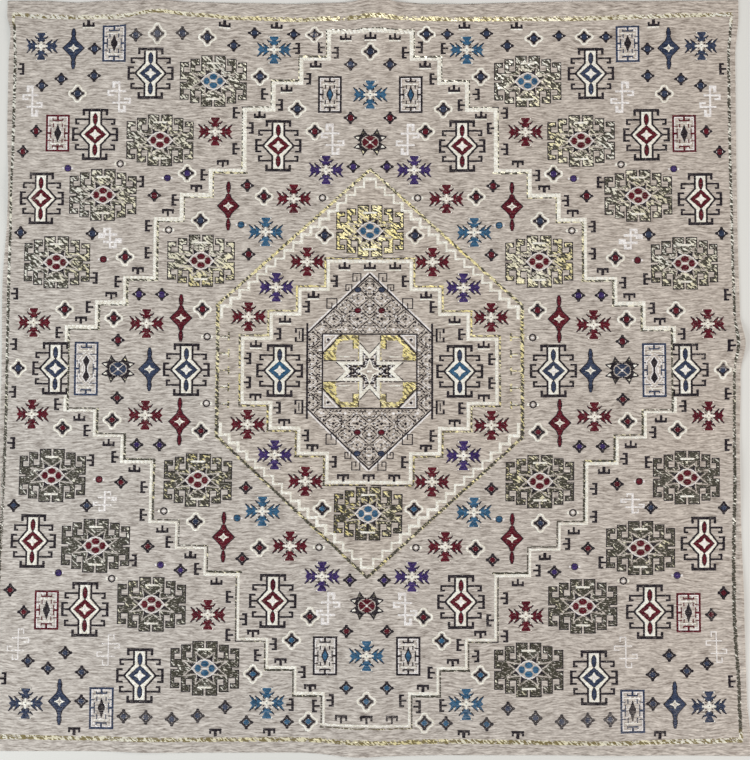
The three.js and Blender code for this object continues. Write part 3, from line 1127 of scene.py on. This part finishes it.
@dataclass(frozen=True)
class ClothFinish:
    """The melange ground weave: matt taupe, warmer in the octagon, with painted shade that makes it darker
    and browner to the upper right and painted light that makes it a little lighter towards the bottom.
    """

    name: str = "ground weave"
    low: tuple = srgb(124, 114, 106)
    high: tuple = srgb(218, 210, 201)
    medallion_tint: tuple = (1.0, 0.98, 0.955, 1)
    # Multipliers for painted shade, darker and browner to the upper right, and painted light, a little
    # lighter towards the bottom.
    upper_right_painted_shade: tuple = (0.97, 0.92, 0.88, 1)
    lower_painted_light: tuple = (1.02, 1.0, 0.99, 1)
    roughness: float = 0.92
    gloss: float = 0.2
    bump: float = 0.0005
    octagon_side: float = 0.305
    octagon_slope: float = 0.907
    octagon_apex: float = 0.4086
    octagon_drop: float = 0.0056

    def build(self, heather: bpy.types.NodeTree) -> bpy.types.Material:
        """Builds the material.

        Args:
            heather: The group that gives the streaks.

        Returns:
            The material.
        """
        material, tree, shader = new_material(self.name, self.roughness, self.gloss)
        place = tree.place()
        given = {"Vector": place, "Streak Length": 0.024, "Streak Pitch": 0.0035, "Contrast": 1.9}
        streaks = tree.add("ShaderNodeGroup", given, node_tree=heather).outputs
        colour = self.tint_and_paint_shade(tree, place, tree.blend(streaks["Shade"], self.low, self.high))
        tree.feed(shader, {"Base Color": colour})
        add_bump(tree, shader, streaks["Height"], self.bump, 0.6)
        return material

    def tint_and_paint_shade(self, tree: Tree, place: bpy.types.NodeSocket, colour: Any) -> bpy.types.NodeSocket:
        """Tints the ground by where it lies on the cloth, and paints shade to the upper right and light
        towards the bottom.

        Args:
            tree: The material's tree.
            place: Object coordinates.
            colour: The streaks' colour.

        Returns:
            The tinted colour, with its painted shade and light.
        """
        split = tree.add("ShaderNodeSeparateXYZ", {0: place}).outputs
        across = tree.math("ABSOLUTE", split[0], 0)
        up = tree.math("ABSOLUTE", tree.math("ADD", split[1], self.octagon_drop), 0)
        within_side = tree.math("LESS_THAN", across, self.octagon_side)
        shoulder = tree.math("ADD", tree.math("MULTIPLY", across, self.octagon_slope), up)
        within = tree.math("MULTIPLY", within_side, tree.math("LESS_THAN", shoulder, self.octagon_apex))
        colour = tree.blend(within, colour, self.medallion_tint, "MULTIPLY")
        # Painted shade: darker and browner to the upper right, in soft clouds.
        cloud = tree.swing(tree.noise(place, 2.2).outputs[0], 0.8)
        right = tree.math("ADD", tree.math("MULTIPLY", tree.math("ADD", split[0], split[1]), 0.45), 0.45)
        right = tree.clamp(tree.math("ADD", right, cloud))
        colour = tree.blend(right, colour, self.upper_right_painted_shade, "MULTIPLY")
        # Painted light: a little lighter towards the bottom, in the same clouds.
        lower = tree.math("SUBTRACT", tree.math("MULTIPLY", split[1], -0.9), 0.05)
        lower = tree.clamp(tree.math("ADD", lower, cloud))
        return tree.blend(lower, colour, self.lower_painted_light, "MULTIPLY")


@dataclass(frozen=True)
class YarnFinish:
    """A plain brocade yarn."""

    name: str
    low: tuple
    high: tuple
    roughness: float = 0.85
    gloss: float = 0.12
    bump: float = 0.00008

    def build(self, body: bpy.types.NodeTree) -> bpy.types.Material:
        """Builds the material.

        Args:
            body: The group that gives a yarn its colour and height.

        Returns:
            The material.
        """
        material, tree, shader = new_material(self.name, self.roughness, self.gloss)
        colours = {"Low Colour": self.low, "High Colour": self.high}
        given = {"Vector": tree.place(), "Shade": tree.shade(), **colours}
        yarn = tree.add("ShaderNodeGroup", given, node_tree=body).outputs
        tree.feed(shader, {"Base Color": yarn["Colour"]})
        add_bump(tree, shader, yarn["Height"], self.bump, 0.5)
        return material


@dataclass(frozen=True)
class LurexFinish:
    """The metal weft: dark olive foil, with glints painted in pale gold along slanting lines where foil
    would catch the light, and a lighter painted sheen on the dull foil near the middle and the hems.
    """

    name: str = "gold lurex"
    low: tuple = srgb(58, 54, 40)
    # The lighter painted sheen that the dull foil takes near the middle and along the hems.
    dull_sheen: tuple = srgb(124, 110, 68)
    # The painted glints' colours: golden near the middle and pale further out.
    glint_golden: tuple = srgb(246, 228, 152)
    pale: tuple = srgb(254, 250, 236)
    slant: float = math.radians(38)
    dash: tuple[float, float, float] = (0.012, 0.0042, 1.0)
    # Thresholds of the painted glints: fewest towards the cloth's foot, most towards its top, where the
    # light falls on the foil.
    fewest_glints: float = 0.62
    most_glints: float = 0.525

    def build(self, body: bpy.types.NodeTree) -> bpy.types.Material:
        """Builds the material.

        Args:
            body: The group that gives a yarn its colour and height.

        Returns:
            The material.
        """
        material, tree, shader = new_material(self.name)
        place = tree.place()
        painted_glint = self.painted_glints(tree, place)
        distance = tree.add("ShaderNodeVectorMath", {0: place}, operation="LENGTH").outputs["Value"]
        drift = tree.swing(tree.noise(place, 7.0).outputs[0], 1.2)
        up = tree.math("ABSOLUTE", tree.add("ShaderNodeSeparateXYZ", {0: place}).outputs[1], 0)
        hem = tree.ramp(up, *HEM_BAND)
        far = tree.math("ADD", tree.math("SUBTRACT", distance, tree.math("MULTIPLY", hem, 0.3)), drift)
        # Painted sheen: the dull foil is lighter near the middle and along the hems.
        middle = tree.ramp(distance, 0.1, 0.25, 0.8, 0.0)
        dull_sheen = tree.blend(tree.math("MAXIMUM", middle, hem), self.low, self.dull_sheen)
        # The painted glints turn from golden to pale outwards.
        outward = tree.ramp(far, 0.15, 0.75)
        glint_colour = tree.blend(outward, self.glint_golden, self.pale)
        shade = tree.ramp(painted_glint, 0.0, 1.0, -0.25, 1.0)
        given = {"Vector": place, "Shade": shade, "Low Colour": dull_sheen, "High Colour": glint_colour}
        colour = tree.add("ShaderNodeGroup", given, node_tree=body).outputs["Colour"]
        rough = tree.ramp(painted_glint, 0.0, 1.0, 0.55, 0.3)
        metal = tree.ramp(painted_glint, 0.0, 1.0, 0.25, 0.3)
        tree.feed(shader, {"Base Color": colour, "Roughness": rough, "Metallic": metal})
        return material

    def painted_glints(self, tree: Tree, place: bpy.types.NodeSocket) -> bpy.types.NodeSocket:
        """Marks where glints are painted on the foil, standing in for foil turned to the light: in more
        places to the cloth's top, its middle and its hems.

        Args:
            tree: The material's tree.
            place: Object coordinates.

        Returns:
            A socket, 1 where a glint is painted and 0 where the foil is dull.
        """
        up = tree.add("ShaderNodeSeparateXYZ", {0: place}).outputs[1]
        turned = tree.put("ShaderNodeMapping", {"Vector": place, "Rotation": (0, 0, self.slant)})
        lines = tree.noise(tree.vector("DIVIDE", turned, self.dash), 1.0, 1.0).outputs[0]
        shade = tree.shade()
        level = tree.math("ADD", tree.math("MULTIPLY", lines, 0.88), tree.math("MULTIPLY", shade, 0.12))
        # Painted glints: fewer towards the foot and more towards the top, as if the light fell on the foil
        # from above.
        least = tree.ramp(up, -0.2, 0.2, self.fewest_glints, self.most_glints)
        distance = tree.add("ShaderNodeVectorMath", {0: place}, operation="LENGTH").outputs["Value"]
        # More painted glints near the middle and along the hems.
        inward = tree.ramp(distance, 0.0, 0.6, 0.12, 0.0)
        low_hem = tree.ramp(up, *(-y for y in HEM_BAND), 0.0, 0.12)
        top_hem = tree.ramp(up, *HEM_BAND, 0.0, 0.06)
        hems = tree.math("ADD", low_hem, top_hem)
        over = tree.math("ADD", tree.math("SUBTRACT", level, least), tree.math("ADD", inward, hems))
        return tree.ramp(over, 0.0, 0.03)


def new_material(
    name: str, roughness: float = 0.5, gloss: float = 0.5
) -> tuple[bpy.types.Material, Tree, bpy.types.Node]:
    """Starts a material.

    Args:
        name: Its name.
        roughness: How rough it is.
        gloss: How strongly it reflects.

    Returns:
        The material, its tree and its Principled shader.
    """
    material = bpy.data.materials.new(name)
    material.use_nodes = True
    shader = material.node_tree.nodes["Principled BSDF"]
    shader.inputs["Roughness"].default_value = roughness
    shader.inputs["Specular IOR Level"].default_value = gloss
    return material, Tree(material.node_tree), shader


def add_bump(tree: Tree, shader: bpy.types.Node, height: Any, distance: float, strength: float) -> None:
    """Feeds a shader's normal from a height.

    Args:
        tree: The material's tree.
        shader: The shader.
        height: The socket that gives the height.
        distance: How high one unit of it stands, in metres.
        strength: How strongly it shows.
    """
    bump = tree.put("ShaderNodeBump", {"Height": height, "Distance": distance, "Strength": strength})
    tree.feed(shader, {"Normal": bump})


def new_piece(name: str, mesh: bpy.types.Mesh) -> bpy.types.Object:
    """Makes a piece of the cloth and fastens it to the body.

    Args:
        name: The piece's name.
        mesh: Its mesh, in place.

    Returns:
        The piece.
    """
    piece = bpy.data.objects.new(name, mesh)
    bpy.context.collection.objects.link(piece)
    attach(piece, BODY)
    LOG.info("%s: %d faces, %d triangles", name, len(mesh.polygons), triangles(mesh))
    return piece


def triangles(mesh: bpy.types.Mesh) -> int:
    """Counts a mesh's triangles."""
    return sum(len(face.vertices) - 2 for face in mesh.polygons)


def run_tree(
    name: str, mesh: bpy.types.Mesh, tree: bpy.types.NodeTree, values: dict[str, Any]
) -> bpy.types.Mesh:
    """Runs a Geometry Nodes tree on a mesh and keeps the result as a plain mesh.

    Args:
        name: The result's name.
        mesh: What the tree works on.
        tree: The tree.
        values: The modifier's inputs, by name.

    Returns:
        The result.
    """
    holder = bpy.data.objects.new(f"{name}_source", mesh)
    bpy.context.collection.objects.link(holder)
    modifier = holder.modifiers.new("weave", "NODES")
    modifier.node_group = tree
    for item in tree.interface.items_tree:
        if item.item_type == "SOCKET" and item.in_out == "INPUT" and item.name in values:
            modifier[item.identifier] = values[item.name]
    bpy.context.view_layer.update()
    graph = bpy.context.evaluated_depsgraph_get()
    made = bpy.data.meshes.new_from_object(holder.evaluated_get(graph))
    made.name = name
    bpy.data.objects.remove(holder)
    return made


def geometry_tree(name: str, inputs: Sequence[tuple[str, str, Any]]) -> Tree:
    """Starts a Geometry Nodes tree with named inputs.

    Args:
        name: The tree's name.
        inputs: The name, socket type and plain value of each input after the geometry.

    Returns:
        The tree.
    """
    group = bpy.data.node_groups.new(name, "GeometryNodeTree")
    group.interface.new_socket("Geometry", in_out="INPUT", socket_type="NodeSocketGeometry")
    group.interface.new_socket("Geometry", in_out="OUTPUT", socket_type="NodeSocketGeometry")
    for label, kind, value in inputs:
        socket = group.interface.new_socket(label, in_out="INPUT", socket_type=kind)
        if value is not None:
            socket.default_value = value
    return Tree(group)


def finish_instances(tree: Tree, placed: bpy.types.NodeSocket, given: Any) -> bpy.types.NodeTree:
    """Ends a Geometry Nodes tree that lays instances.

    Args:
        tree: The tree.
        placed: The laid instances.
        given: The tree's inputs, with the seed and the material among them.

    Returns:
        The finished tree, which gives each instance a shade of its own, makes it real and dresses it.
    """
    chance = tree.add("FunctionNodeRandomValue", {8: given["Seed"]}, data_type="FLOAT").outputs[1]
    shade = {"Geometry": placed, "Name": SHADE, "Value": chance}
    marked = tree.put("GeometryNodeStoreNamedAttribute", shade, data_type="FLOAT", domain="INSTANCE")
    real = tree.put("GeometryNodeRealizeInstances", {"Geometry": marked})
    dressed = tree.put("GeometryNodeSetMaterial", {"Geometry": real, "Material": given["Material"]})
    tree.add("NodeGroupOutput", {"Geometry": dressed})
    return tree.tree


class FloatTree:
    """Lays one weft float on each point: a low pillow, turned and sized by the point's attributes."""

    NAME = "weft floats"

    def build(self) -> bpy.types.NodeTree:
        """Builds the tree.

        Returns:
            A tree with inputs for the floats' shading and wobble, the seed and the material.
        """
        tree = geometry_tree(
            self.NAME,
            [
                ("Soft", "NodeSocketBool", True),
                ("Wobble", "NodeSocketVector", (0, 0, 0)),
                ("Seed", "NodeSocketInt", 1),
                ("Material", "NodeSocketMaterial", None),
            ],
        )
        given = tree.add("NodeGroupInput").outputs
        pillow = self.pillow(tree, given["Soft"])
        turn, size = (
            tree.put("GeometryNodeInputNamedAttribute", {"Name": name}, data_type="FLOAT_VECTOR")
            for name in (TURN, SIZE)
        )
        back = tree.vector("MULTIPLY", given["Wobble"], (-1, -1, -1))
        limits = {0: back, 1: given["Wobble"], 8: given["Seed"]}
        wobble = tree.put("FunctionNodeRandomValue", limits, data_type="FLOAT_VECTOR")
        turned = tree.put("FunctionNodeRotateRotation", {0: turn, 1: wobble}, rotation_space="LOCAL")
        placed = tree.put(
            "GeometryNodeInstanceOnPoints",
            {"Points": given["Geometry"], "Instance": pillow, "Rotation": turned, "Scale": size},
        )
        return finish_instances(tree, placed, given)

    def pillow(self, tree: Tree, soft: bpy.types.NodeSocket) -> bpy.types.NodeSocket:
        """Makes the float's own shape: a cone of four sides, turned square to the float.

        Args:
            tree: The tree.
            soft: Whether its sides are shaded round.

        Returns:
            The shape's socket, one unit each way and standing on its base.
        """
        form = {"Vertices": 4, "Radius Top": 0.0, "Radius Bottom": math.sqrt(0.5), "Depth": 1.0}
        cone = tree.add("GeometryNodeMeshCone", form, fill_type="NGON").outputs
        round_sides = tree.put("FunctionNodeBooleanMath", {0: cone["Side"], 1: soft}, operation="AND")
        shaded = tree.put("GeometryNodeSetShadeSmooth", {0: cone["Mesh"], "Shade Smooth": round_sides})
        return tree.put("GeometryNodeTransform", {"Geometry": shaded, "Rotation": (0, 0, math.radians(45))})


class StitchTree:
    """Sews along a path: a short round stitch on every step of it."""

    NAME = "hem stitches"

    def build(self) -> bpy.types.NodeTree:
        """Builds the tree.

        Returns:
            A tree with inputs for the stitches' pitch, length and thread, the seed and the material.
        """
        tree = geometry_tree(
            self.NAME,
            [
                ("Pitch", "NodeSocketFloat", 0.0035),
                ("Length", "NodeSocketFloat", 0.0028),
                ("Thread", "NodeSocketFloat", 0.0006),
                ("Seed", "NodeSocketInt", 1),
                ("Material", "NodeSocketMaterial", None),
            ],
        )
        given = tree.add("NodeGroupInput").outputs
        path = tree.put("GeometryNodeMeshToCurve", {"Mesh": given["Geometry"]})
        pitch = {"Curve": path, "Length": given["Pitch"]}
        spaced = tree.put("GeometryNodeResampleCurve", pitch, mode="LENGTH")
        tangent = tree.put("GeometryNodeInputTangent")
        turn = tree.put("FunctionNodeAlignRotationToVector", {"Vector": tangent}, axis="X")
        size = tree.put("ShaderNodeCombineXYZ", {0: given["Length"], 1: given["Thread"], 2: given["Thread"]})
        limits = {2: 0.88, 3: 1.05, 8: given["Seed"]}
        spread = tree.add("FunctionNodeRandomValue", limits, data_type="FLOAT").outputs[1]
        sized = tree.put("ShaderNodeVectorMath", {0: size, "Scale": spread}, operation="SCALE")
        bead = tree.put("GeometryNodeMeshIcoSphere", {"Radius": 0.5, "Subdivisions": 1})
        placed = tree.put(
            "GeometryNodeInstanceOnPoints",
            {"Points": spaced, "Instance": bead, "Rotation": turn, "Scale": sized},
        )
        return finish_instances(tree, placed, given)


@dataclass
class GroundCloth:
    """The woven sheet itself: its face, its underside and the round fold of its hem, in millimetres."""

    lay: Lay
    pitch: float = 10
    rim_steps: int = 5
    top_share: float = 0.78

    def lines(self, line: float, low: float, high: float) -> np.ndarray:
        """The grid's lines across one direction of the cloth.

        Args:
            line: How far the border line is from the middle.
            low: The hem's width at the low end.
            high: The hem's width at the high end.

        Returns:
            The lines' places, from the low edge to the high one.
        """
        count = round(2 * line / self.pitch)
        inner = np.linspace(-line, line, count + 1)
        start, end = self.lay.hem_step
        near = [start, (start + end) / 2, end, self.lay.stitch_line, self.lay.stitch_line + 2]
        hems = [
            [*near, *np.linspace(near[-1], width, max(2, round((width - near[-1]) / self.pitch) + 1))[1:]]
            for width in (low, high)
        ]
        return np.concatenate([[-line - x for x in reversed(hems[0])], inner, [line + x for x in hems[1]]])

    def grid(self) -> tuple[np.ndarray, np.ndarray]:
        """The grid's points on the woven cloth, across and up."""
        lay = self.lay
        s = self.lines(lay.border_x, lay.hem_left, lay.hem_right)
        t = self.lines(lay.border_y, lay.hem_bottom, lay.hem_top)
        return np.meshgrid(s, t)

    def centre(self) -> None:
        """Sets the lay's offset, so that the sheet's outline is centred on the solid's."""
        low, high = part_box("cloth")
        x, y = self.lay.plan(*self.grid())
        middle = ((x.min() + x.max()) / 2, (y.min() + y.max()) / 2)
        solid = ((low.x + high.x) / 2 / MM, (low.y + high.y) / 2 / MM)
        self.lay.offset = (solid[0] - middle[0], solid[1] - middle[1])

    def mesh(self, material: bpy.types.Material) -> bpy.types.Mesh:
        """Builds the closed sheet.

        Args:
            material: The ground weave.

        Returns:
            The mesh, in metres.
        """
        lay = self.lay
        s, t = self.grid()
        rows, columns = s.shape
        x, y = lay.plan(s, t)
        base, top = lay.lift(s, t), lay.face(s, t)
        out_x = np.zeros_like(x)
        out_y = np.zeros_like(y)
        out_x[:, 0], out_x[:, -1] = -1, 1
        out_y[0], out_y[-1] = -1, 1
        middle, radius = (top + base) / 2, (top - base) / 2

        def layer(angle: float) -> np.ndarray:
            """The points at one angle round the folded edge: 90 degrees is the face."""
            inset = radius * (1 - math.cos(angle))
            height = middle + radius * math.sin(angle)
            return np.stack([x - out_x * inset, y - out_y * inset, height], axis=-1).reshape(-1, 3)

        edge = self.edge_loop(columns, rows)
        angles = np.linspace(math.pi / 2, -math.pi / 2, self.rim_steps + 1)
        rims = [layer(angle)[edge] for angle in angles[1:-1]]
        points = np.concatenate([layer(math.pi / 2), layer(-math.pi / 2), *rims])
        corner = np.arange(rows * columns).reshape(rows, columns)
        quads = np.stack([corner[:-1, :-1], corner[:-1, 1:], corner[1:, 1:], corner[1:, :-1]], axis=-1)
        quads = quads.reshape(-1, 4)
        under = quads[:, ::-1] + rows * columns
        loops = [edge]
        loops += [2 * rows * columns + i * len(edge) + np.arange(len(edge)) for i in range(len(rims))]
        loops.append(edge + rows * columns)
        fold = []
        for high, low in zip(loops, loops[1:]):
            fold.append(np.stack([low, np.roll(low, -1), np.roll(high, -1), high], axis=-1))
        faces = np.concatenate([quads, under, *fold])
        mesh = bpy.data.meshes.new("cloth_weave")
        mesh.from_pydata((points * MM).tolist(), [], faces.tolist())
        mesh.polygons.foreach_set("use_smooth", [True] * len(mesh.polygons))
        mesh.materials.append(material)
        planar_map(mesh, self.top_share)
        return mesh

    def edge_loop(self, columns: int, rows: int) -> np.ndarray:
        """The face's edge points, once round against the clock."""
        first = np.arange(columns)
        right = np.arange(1, rows) * columns + columns - 1
        top = (rows - 1) * columns + np.arange(columns - 2, -1, -1)
        left = np.arange(rows - 2, 0, -1) * columns
        return np.concatenate([first, right, top, left])

    def build(self, material: bpy.types.Material) -> bpy.types.Object:
        """Builds the sheet as a piece that stands for the solid."""
        piece = new_piece("cloth_weave", self.mesh(material))
        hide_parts("cloth")
        return piece


def values_of(items: Any, name: str, width: int, kind: type) -> np.ndarray:
    """Reads one value of all of a mesh's items, as rows of the given width."""
    values = np.empty(len(items) * width, kind)
    items.foreach_get(name, values)
    return values.reshape(-1, width)


def planar_map(mesh: bpy.types.Mesh, top_share: float) -> None:
    """Maps a mesh flat, seen from above, with its underside in a strip of its own.

    Args:
        mesh: The mesh.
        top_share: The share of the map's width that the face takes.
    """
    corner = values_of(mesh.loops, "vertex_index", 1, np.int32)[:, 0]
    sizes = values_of(mesh.polygons, "loop_total", 1, np.int32)[:, 0]
    down = np.repeat(values_of(mesh.polygons, "normal", 3, float)[:, 2] < FACING_DOWN, sizes)
    u, v = values_of(mesh.vertices, "co", 3, float)[corner, :2].T / MAP_SIDE + 0.5
    u = np.where(down, top_share + MAP_GAP + u * (1 - MAP_GAP - top_share), u * top_share)
    layer = mesh.uv_layers.new(name=BAKE_MAP)
    layer.data.foreach_set("uv", np.stack([u, v], axis=-1).ravel())


@dataclass(frozen=True)
class Weft:
    """One yarn of the brocade: its piece, its slot, its finish, and how its floats are laid.

    The height is in millimetres, the longest float in cells and the wobble in degrees. Soft floats are
    shaded round, as spun yarn is, and the others flat, as foil is.
    """

    yarn: Yarn
    piece: str
    slot: str
    finish: YarnFinish | LurexFinish
    height: float = 0.38
    longest: int = 8
    wobble: float = 2.0
    soft: bool = True


def spun(name: str, low: tuple[int, int, int], high: tuple[int, int, int]) -> YarnFinish:
    """A spun yarn's finish, between two screen colours."""
    return YarnFinish(name, srgb(*low), srgb(*high))


WEFTS = (
    Weft(CREAM, "cream_wefts", "cream_yarn", spun("cream brocade", (214, 206, 190), (252, 248, 238)), 0.42),
    Weft(PALE, "pale_wefts", "cream_yarn", spun("pale brocade", (210, 202, 198), (248, 242, 238))),
    Weft(GOLD, "gold_wefts", "gold_yarn", LurexFinish(), 0.34, wobble=12.0, soft=False),
    Weft(DARK, "dark_wefts", "dark_yarn", spun("dark brocade", (22, 18, 24), (54, 47, 52)), longest=9),
    Weft(RED, "red_wefts", "red_yarn", spun("crimson brocade", (62, 12, 24), (106, 28, 40))),
    Weft(SKY, "sky_wefts", "blue_yarn", spun("blue brocade", (30, 62, 88), (68, 112, 144))),
    Weft(NAVY, "navy_wefts", "navy_yarn", spun("navy brocade", (32, 38, 56), (66, 77, 102))),
    Weft(PURPLE, "purple_wefts", "purple_yarn", spun("purple brocade", (38, 26, 66), (74, 56, 114))),
)
HEM_THREAD = spun("hem thread", (150, 140, 130), (206, 197, 186))


@dataclass
class Brocade:
    """The coloured wefts of the pattern, laid on the cloth's face as floats."""

    lay: Lay
    chart: Chart
    tree: bpy.types.NodeTree
    overlap: float = 0.3
    sunk: float = 0.1
    most_floats: int = 33000
    top_share: float = 0.97

    def points(self, floats: np.ndarray, height: float) -> bpy.types.Mesh:
        """Makes the points that the floats are laid on, with their turns and sizes.

        Args:
            floats: One row for each float, from the chart.
            height: How high a float's middle stands over its base, in millimetres.

        Returns:
            A mesh of bare points.
        """
        lay = self.lay
        s, t = lay.drawn(floats[:, 0] * UNIT, floats[:, 1] * UNIT)
        x, y = lay.plan(s, t)
        z = lay.face(s, t) - self.sunk
        step = 1.0
        x1, y1 = lay.plan(s + step, t)
        rise = (lay.face(s + step, t) - lay.face(s - step, t)) / (2 * step)
        lean = (lay.face(s, t + step) - lay.face(s, t - step)) / (2 * step)
        turns = np.stack([np.arctan(lean), -np.arctan(rise), np.arctan2(y1 - y, x1 - x)], axis=-1)
        spread = height / (height - self.sunk)
        lengths, widths = floats[:, 2] * UNIT + self.overlap, floats[:, 3] * UNIT
        sizes = np.stack([lengths * spread, widths * spread, np.full(len(s), height)], axis=-1)
        mesh = bpy.data.meshes.new("float_points")
        mesh.vertices.add(len(s))
        mesh.vertices.foreach_set("co", (np.stack([x, y, z], axis=-1) * MM).ravel())
        for name, values in ((TURN, turns), (SIZE, sizes * MM)):
            mesh.attributes.new(name, "FLOAT_VECTOR", "POINT").data.foreach_set("vector", values.ravel())
        return mesh

    def build(self, weft: Weft, body: bpy.types.NodeTree) -> list[bpy.types.Object]:
        """Builds the pieces of one yarn.

        Args:
            weft: The yarn.
            body: The shader group of a yarn's body.

        Returns:
            The pieces, numbered where there are several.
        """
        floats = self.chart.floats(weft.yarn, weft.longest, int(weft.yarn))
        material = weft.finish.build(body)
        parts = max(1, math.ceil(len(floats) / self.most_floats))
        pieces = []
        for number, share in enumerate(np.array_split(floats, parts), start=1):
            label = weft.piece if parts == 1 else f"{weft.piece}_{number}"
            values = {
                "Soft": weft.soft,
                "Wobble": (math.radians(weft.wobble), math.radians(weft.wobble / 4), 0.0),
                "Seed": int(weft.yarn) * 10 + number,
                "Material": material,
            }
            mesh = run_tree(label, self.points(share, weft.height), self.tree, values)
            planar_map(mesh, self.top_share)
            pieces.append(new_piece(label, mesh))
        return pieces


@dataclass
class HemStitching:
    """The row of stitches that holds the turned hem, all round the cloth."""

    lay: Lay
    step: float = 12
    sink: float = 0.05

    def path(self) -> bpy.types.Mesh:
        """Makes the path of the stitches, on the face of the hem.

        Returns:
            A mesh of edges, closed on itself.
        """
        lay = self.lay
        across, up = lay.border_x + lay.stitch_line, lay.border_y + lay.stitch_line
        corners = [(-across, -up), (across, -up), (across, up), (-across, up)]
        places: list[Point] = []
        for (s0, t0), (s1, t1) in zip(corners, corners[1:] + corners[:1]):
            count = round(math.hypot(s1 - s0, t1 - t0) / self.step)
            places += [(s0 + (s1 - s0) * i / count, t0 + (t1 - t0) * i / count) for i in range(count)]
        s, t = np.array(places).T
        x, y = lay.plan(s, t)
        z = lay.face(s, t) - self.sink
        mesh = bpy.data.meshes.new("stitch_path")
        edges = [(i, (i + 1) % len(s)) for i in range(len(s))]
        mesh.from_pydata((np.stack([x, y, z], axis=-1) * MM).tolist(), edges, [])
        return mesh

    def build(self, tree: bpy.types.NodeTree, material: bpy.types.Material) -> bpy.types.Object:
        """Builds the stitches as one piece."""
        mesh = run_tree("hem_stitches", self.path(), tree, {"Seed": 7, "Material": material})
        return new_piece("hem_stitches", mesh)


@dataclass
class Studio:
    """A pale floor, soft lights and the camera above the cloth."""

    centre: tuple[float, float]
    picture: tuple[int, int] = (750, 760)
    focal_pixels: float = 950
    sensor: float = 36
    camera_place: tuple[float, float, float] = (0.0248, -0.1157, 1.8972)
    camera_turn: tuple[float, float, float] = (2.799, 0.417, 0.124)
    floor_reach: float = 4.0
    sky_colour: tuple[float, float, float, float] = (0.93, 0.96, 1.0, 1)
    sky_strength: float = 0.33

    def camera(self) -> None:
        """Sets the camera above the cloth, nearly upright, as the photographer stood."""
        data = bpy.data.cameras.new("camera")
        data.sensor_fit = "HORIZONTAL"
        data.sensor_width = self.sensor
        data.lens = self.focal_pixels / self.picture[0] * self.sensor
        holder = bpy.data.objects.new("camera", data)
        x, y, z = self.camera_place
        holder.location = (x + self.centre[0], y + self.centre[1], z)
        holder.rotation_euler = Euler([math.radians(a) for a in self.camera_turn])
        bpy.context.collection.objects.link(holder)
        bpy.context.scene.camera = holder

    def lamp(
        self, name: str, place: tuple[float, float, float], size: float, power: float,
        colour: Sequence[float],
    ) -> None:
        """Hangs a square soft light that faces the middle of the cloth.

        Args:
            name: The light's name.
            place: Where it hangs.
            size: The length of its side.
            power: Its power in watts.
            colour: Its colour.
        """
        data = bpy.data.lights.new(name, "AREA")
        data.shape = "SQUARE"
        data.size = size
        data.energy = power
        data.color = colour
        holder = bpy.data.objects.new(name, data)
        holder.location = place
        holder.rotation_euler = (-holder.location).to_track_quat("-Z", "Y").to_euler()
        bpy.context.collection.objects.link(holder)

    def floor(self) -> None:
        """Lays a plain pale floor."""
        data = bpy.data.meshes.new("floor")
        reach = self.floor_reach
        corners = [(-reach, -reach, 0), (reach, -reach, 0), (reach, reach, 0), (-reach, reach, 0)]
        data.from_pydata(corners, [], [(0, 1, 2, 3)])
        material, _, shader = new_material("floor", 0.9)
        shader.inputs["Base Color"].default_value = srgb(214, 211, 205)
        data.materials.append(material)
        piece = bpy.data.objects.new("floor", data)
        bpy.context.collection.objects.link(piece)

    def build(self) -> None:
        """Builds the whole set."""
        self.camera()
        self.floor()
        self.lamp("key", (0.15, 1.3, 1.75), 0.6, 11, (1.0, 0.99, 0.96))
        self.lamp("left fill", (-3.2, -1.2, 1.7), 1.8, 118, (0.91, 0.97, 1.0))
        self.lamp("right fill", (3.2, -1.2, 1.7), 1.8, 90, (1.0, 0.97, 0.94))
        world = bpy.data.worlds.new("studio")
        world.use_nodes = True
        background = world.node_tree.nodes["Background"]
        background.inputs["Color"].default_value = self.sky_colour
        background.inputs["Strength"].default_value = self.sky_strength
        bpy.context.scene.world = world
        bpy.context.scene.view_settings.view_transform = "Standard"


@dataclass
class Tablecloth:
    """The whole tablecloth: its ground, its brocade and its hem's stitches."""

    lay: Lay = field(default_factory=Lay)

    def build(self) -> None:
        heather, body = HeatherGroup().build(), YarnGroup().build()
        ground = GroundCloth(self.lay)
        ground.centre()
        cloth = ground.build(ClothFinish().build(heather))
        brocade = Brocade(self.lay, Chart(), FloatTree().build())
        pieces = [piece for weft in WEFTS for piece in brocade.build(weft, body)]
        pieces.append(HemStitching(self.lay).build(StitchTree().build(), HEM_THREAD.build(body)))


def main() -> None:
    """Builds the tablecloth and the set."""
    logging.basicConfig(level=logging.INFO, format="%(message)s", stream=sys.stdout)
    tablecloth = Tablecloth()
    tablecloth.build()
    Studio((tablecloth.lay.offset[0] * MM, tablecloth.lay.offset[1] * MM)).build()


if __name__ == "__main__":
    main()
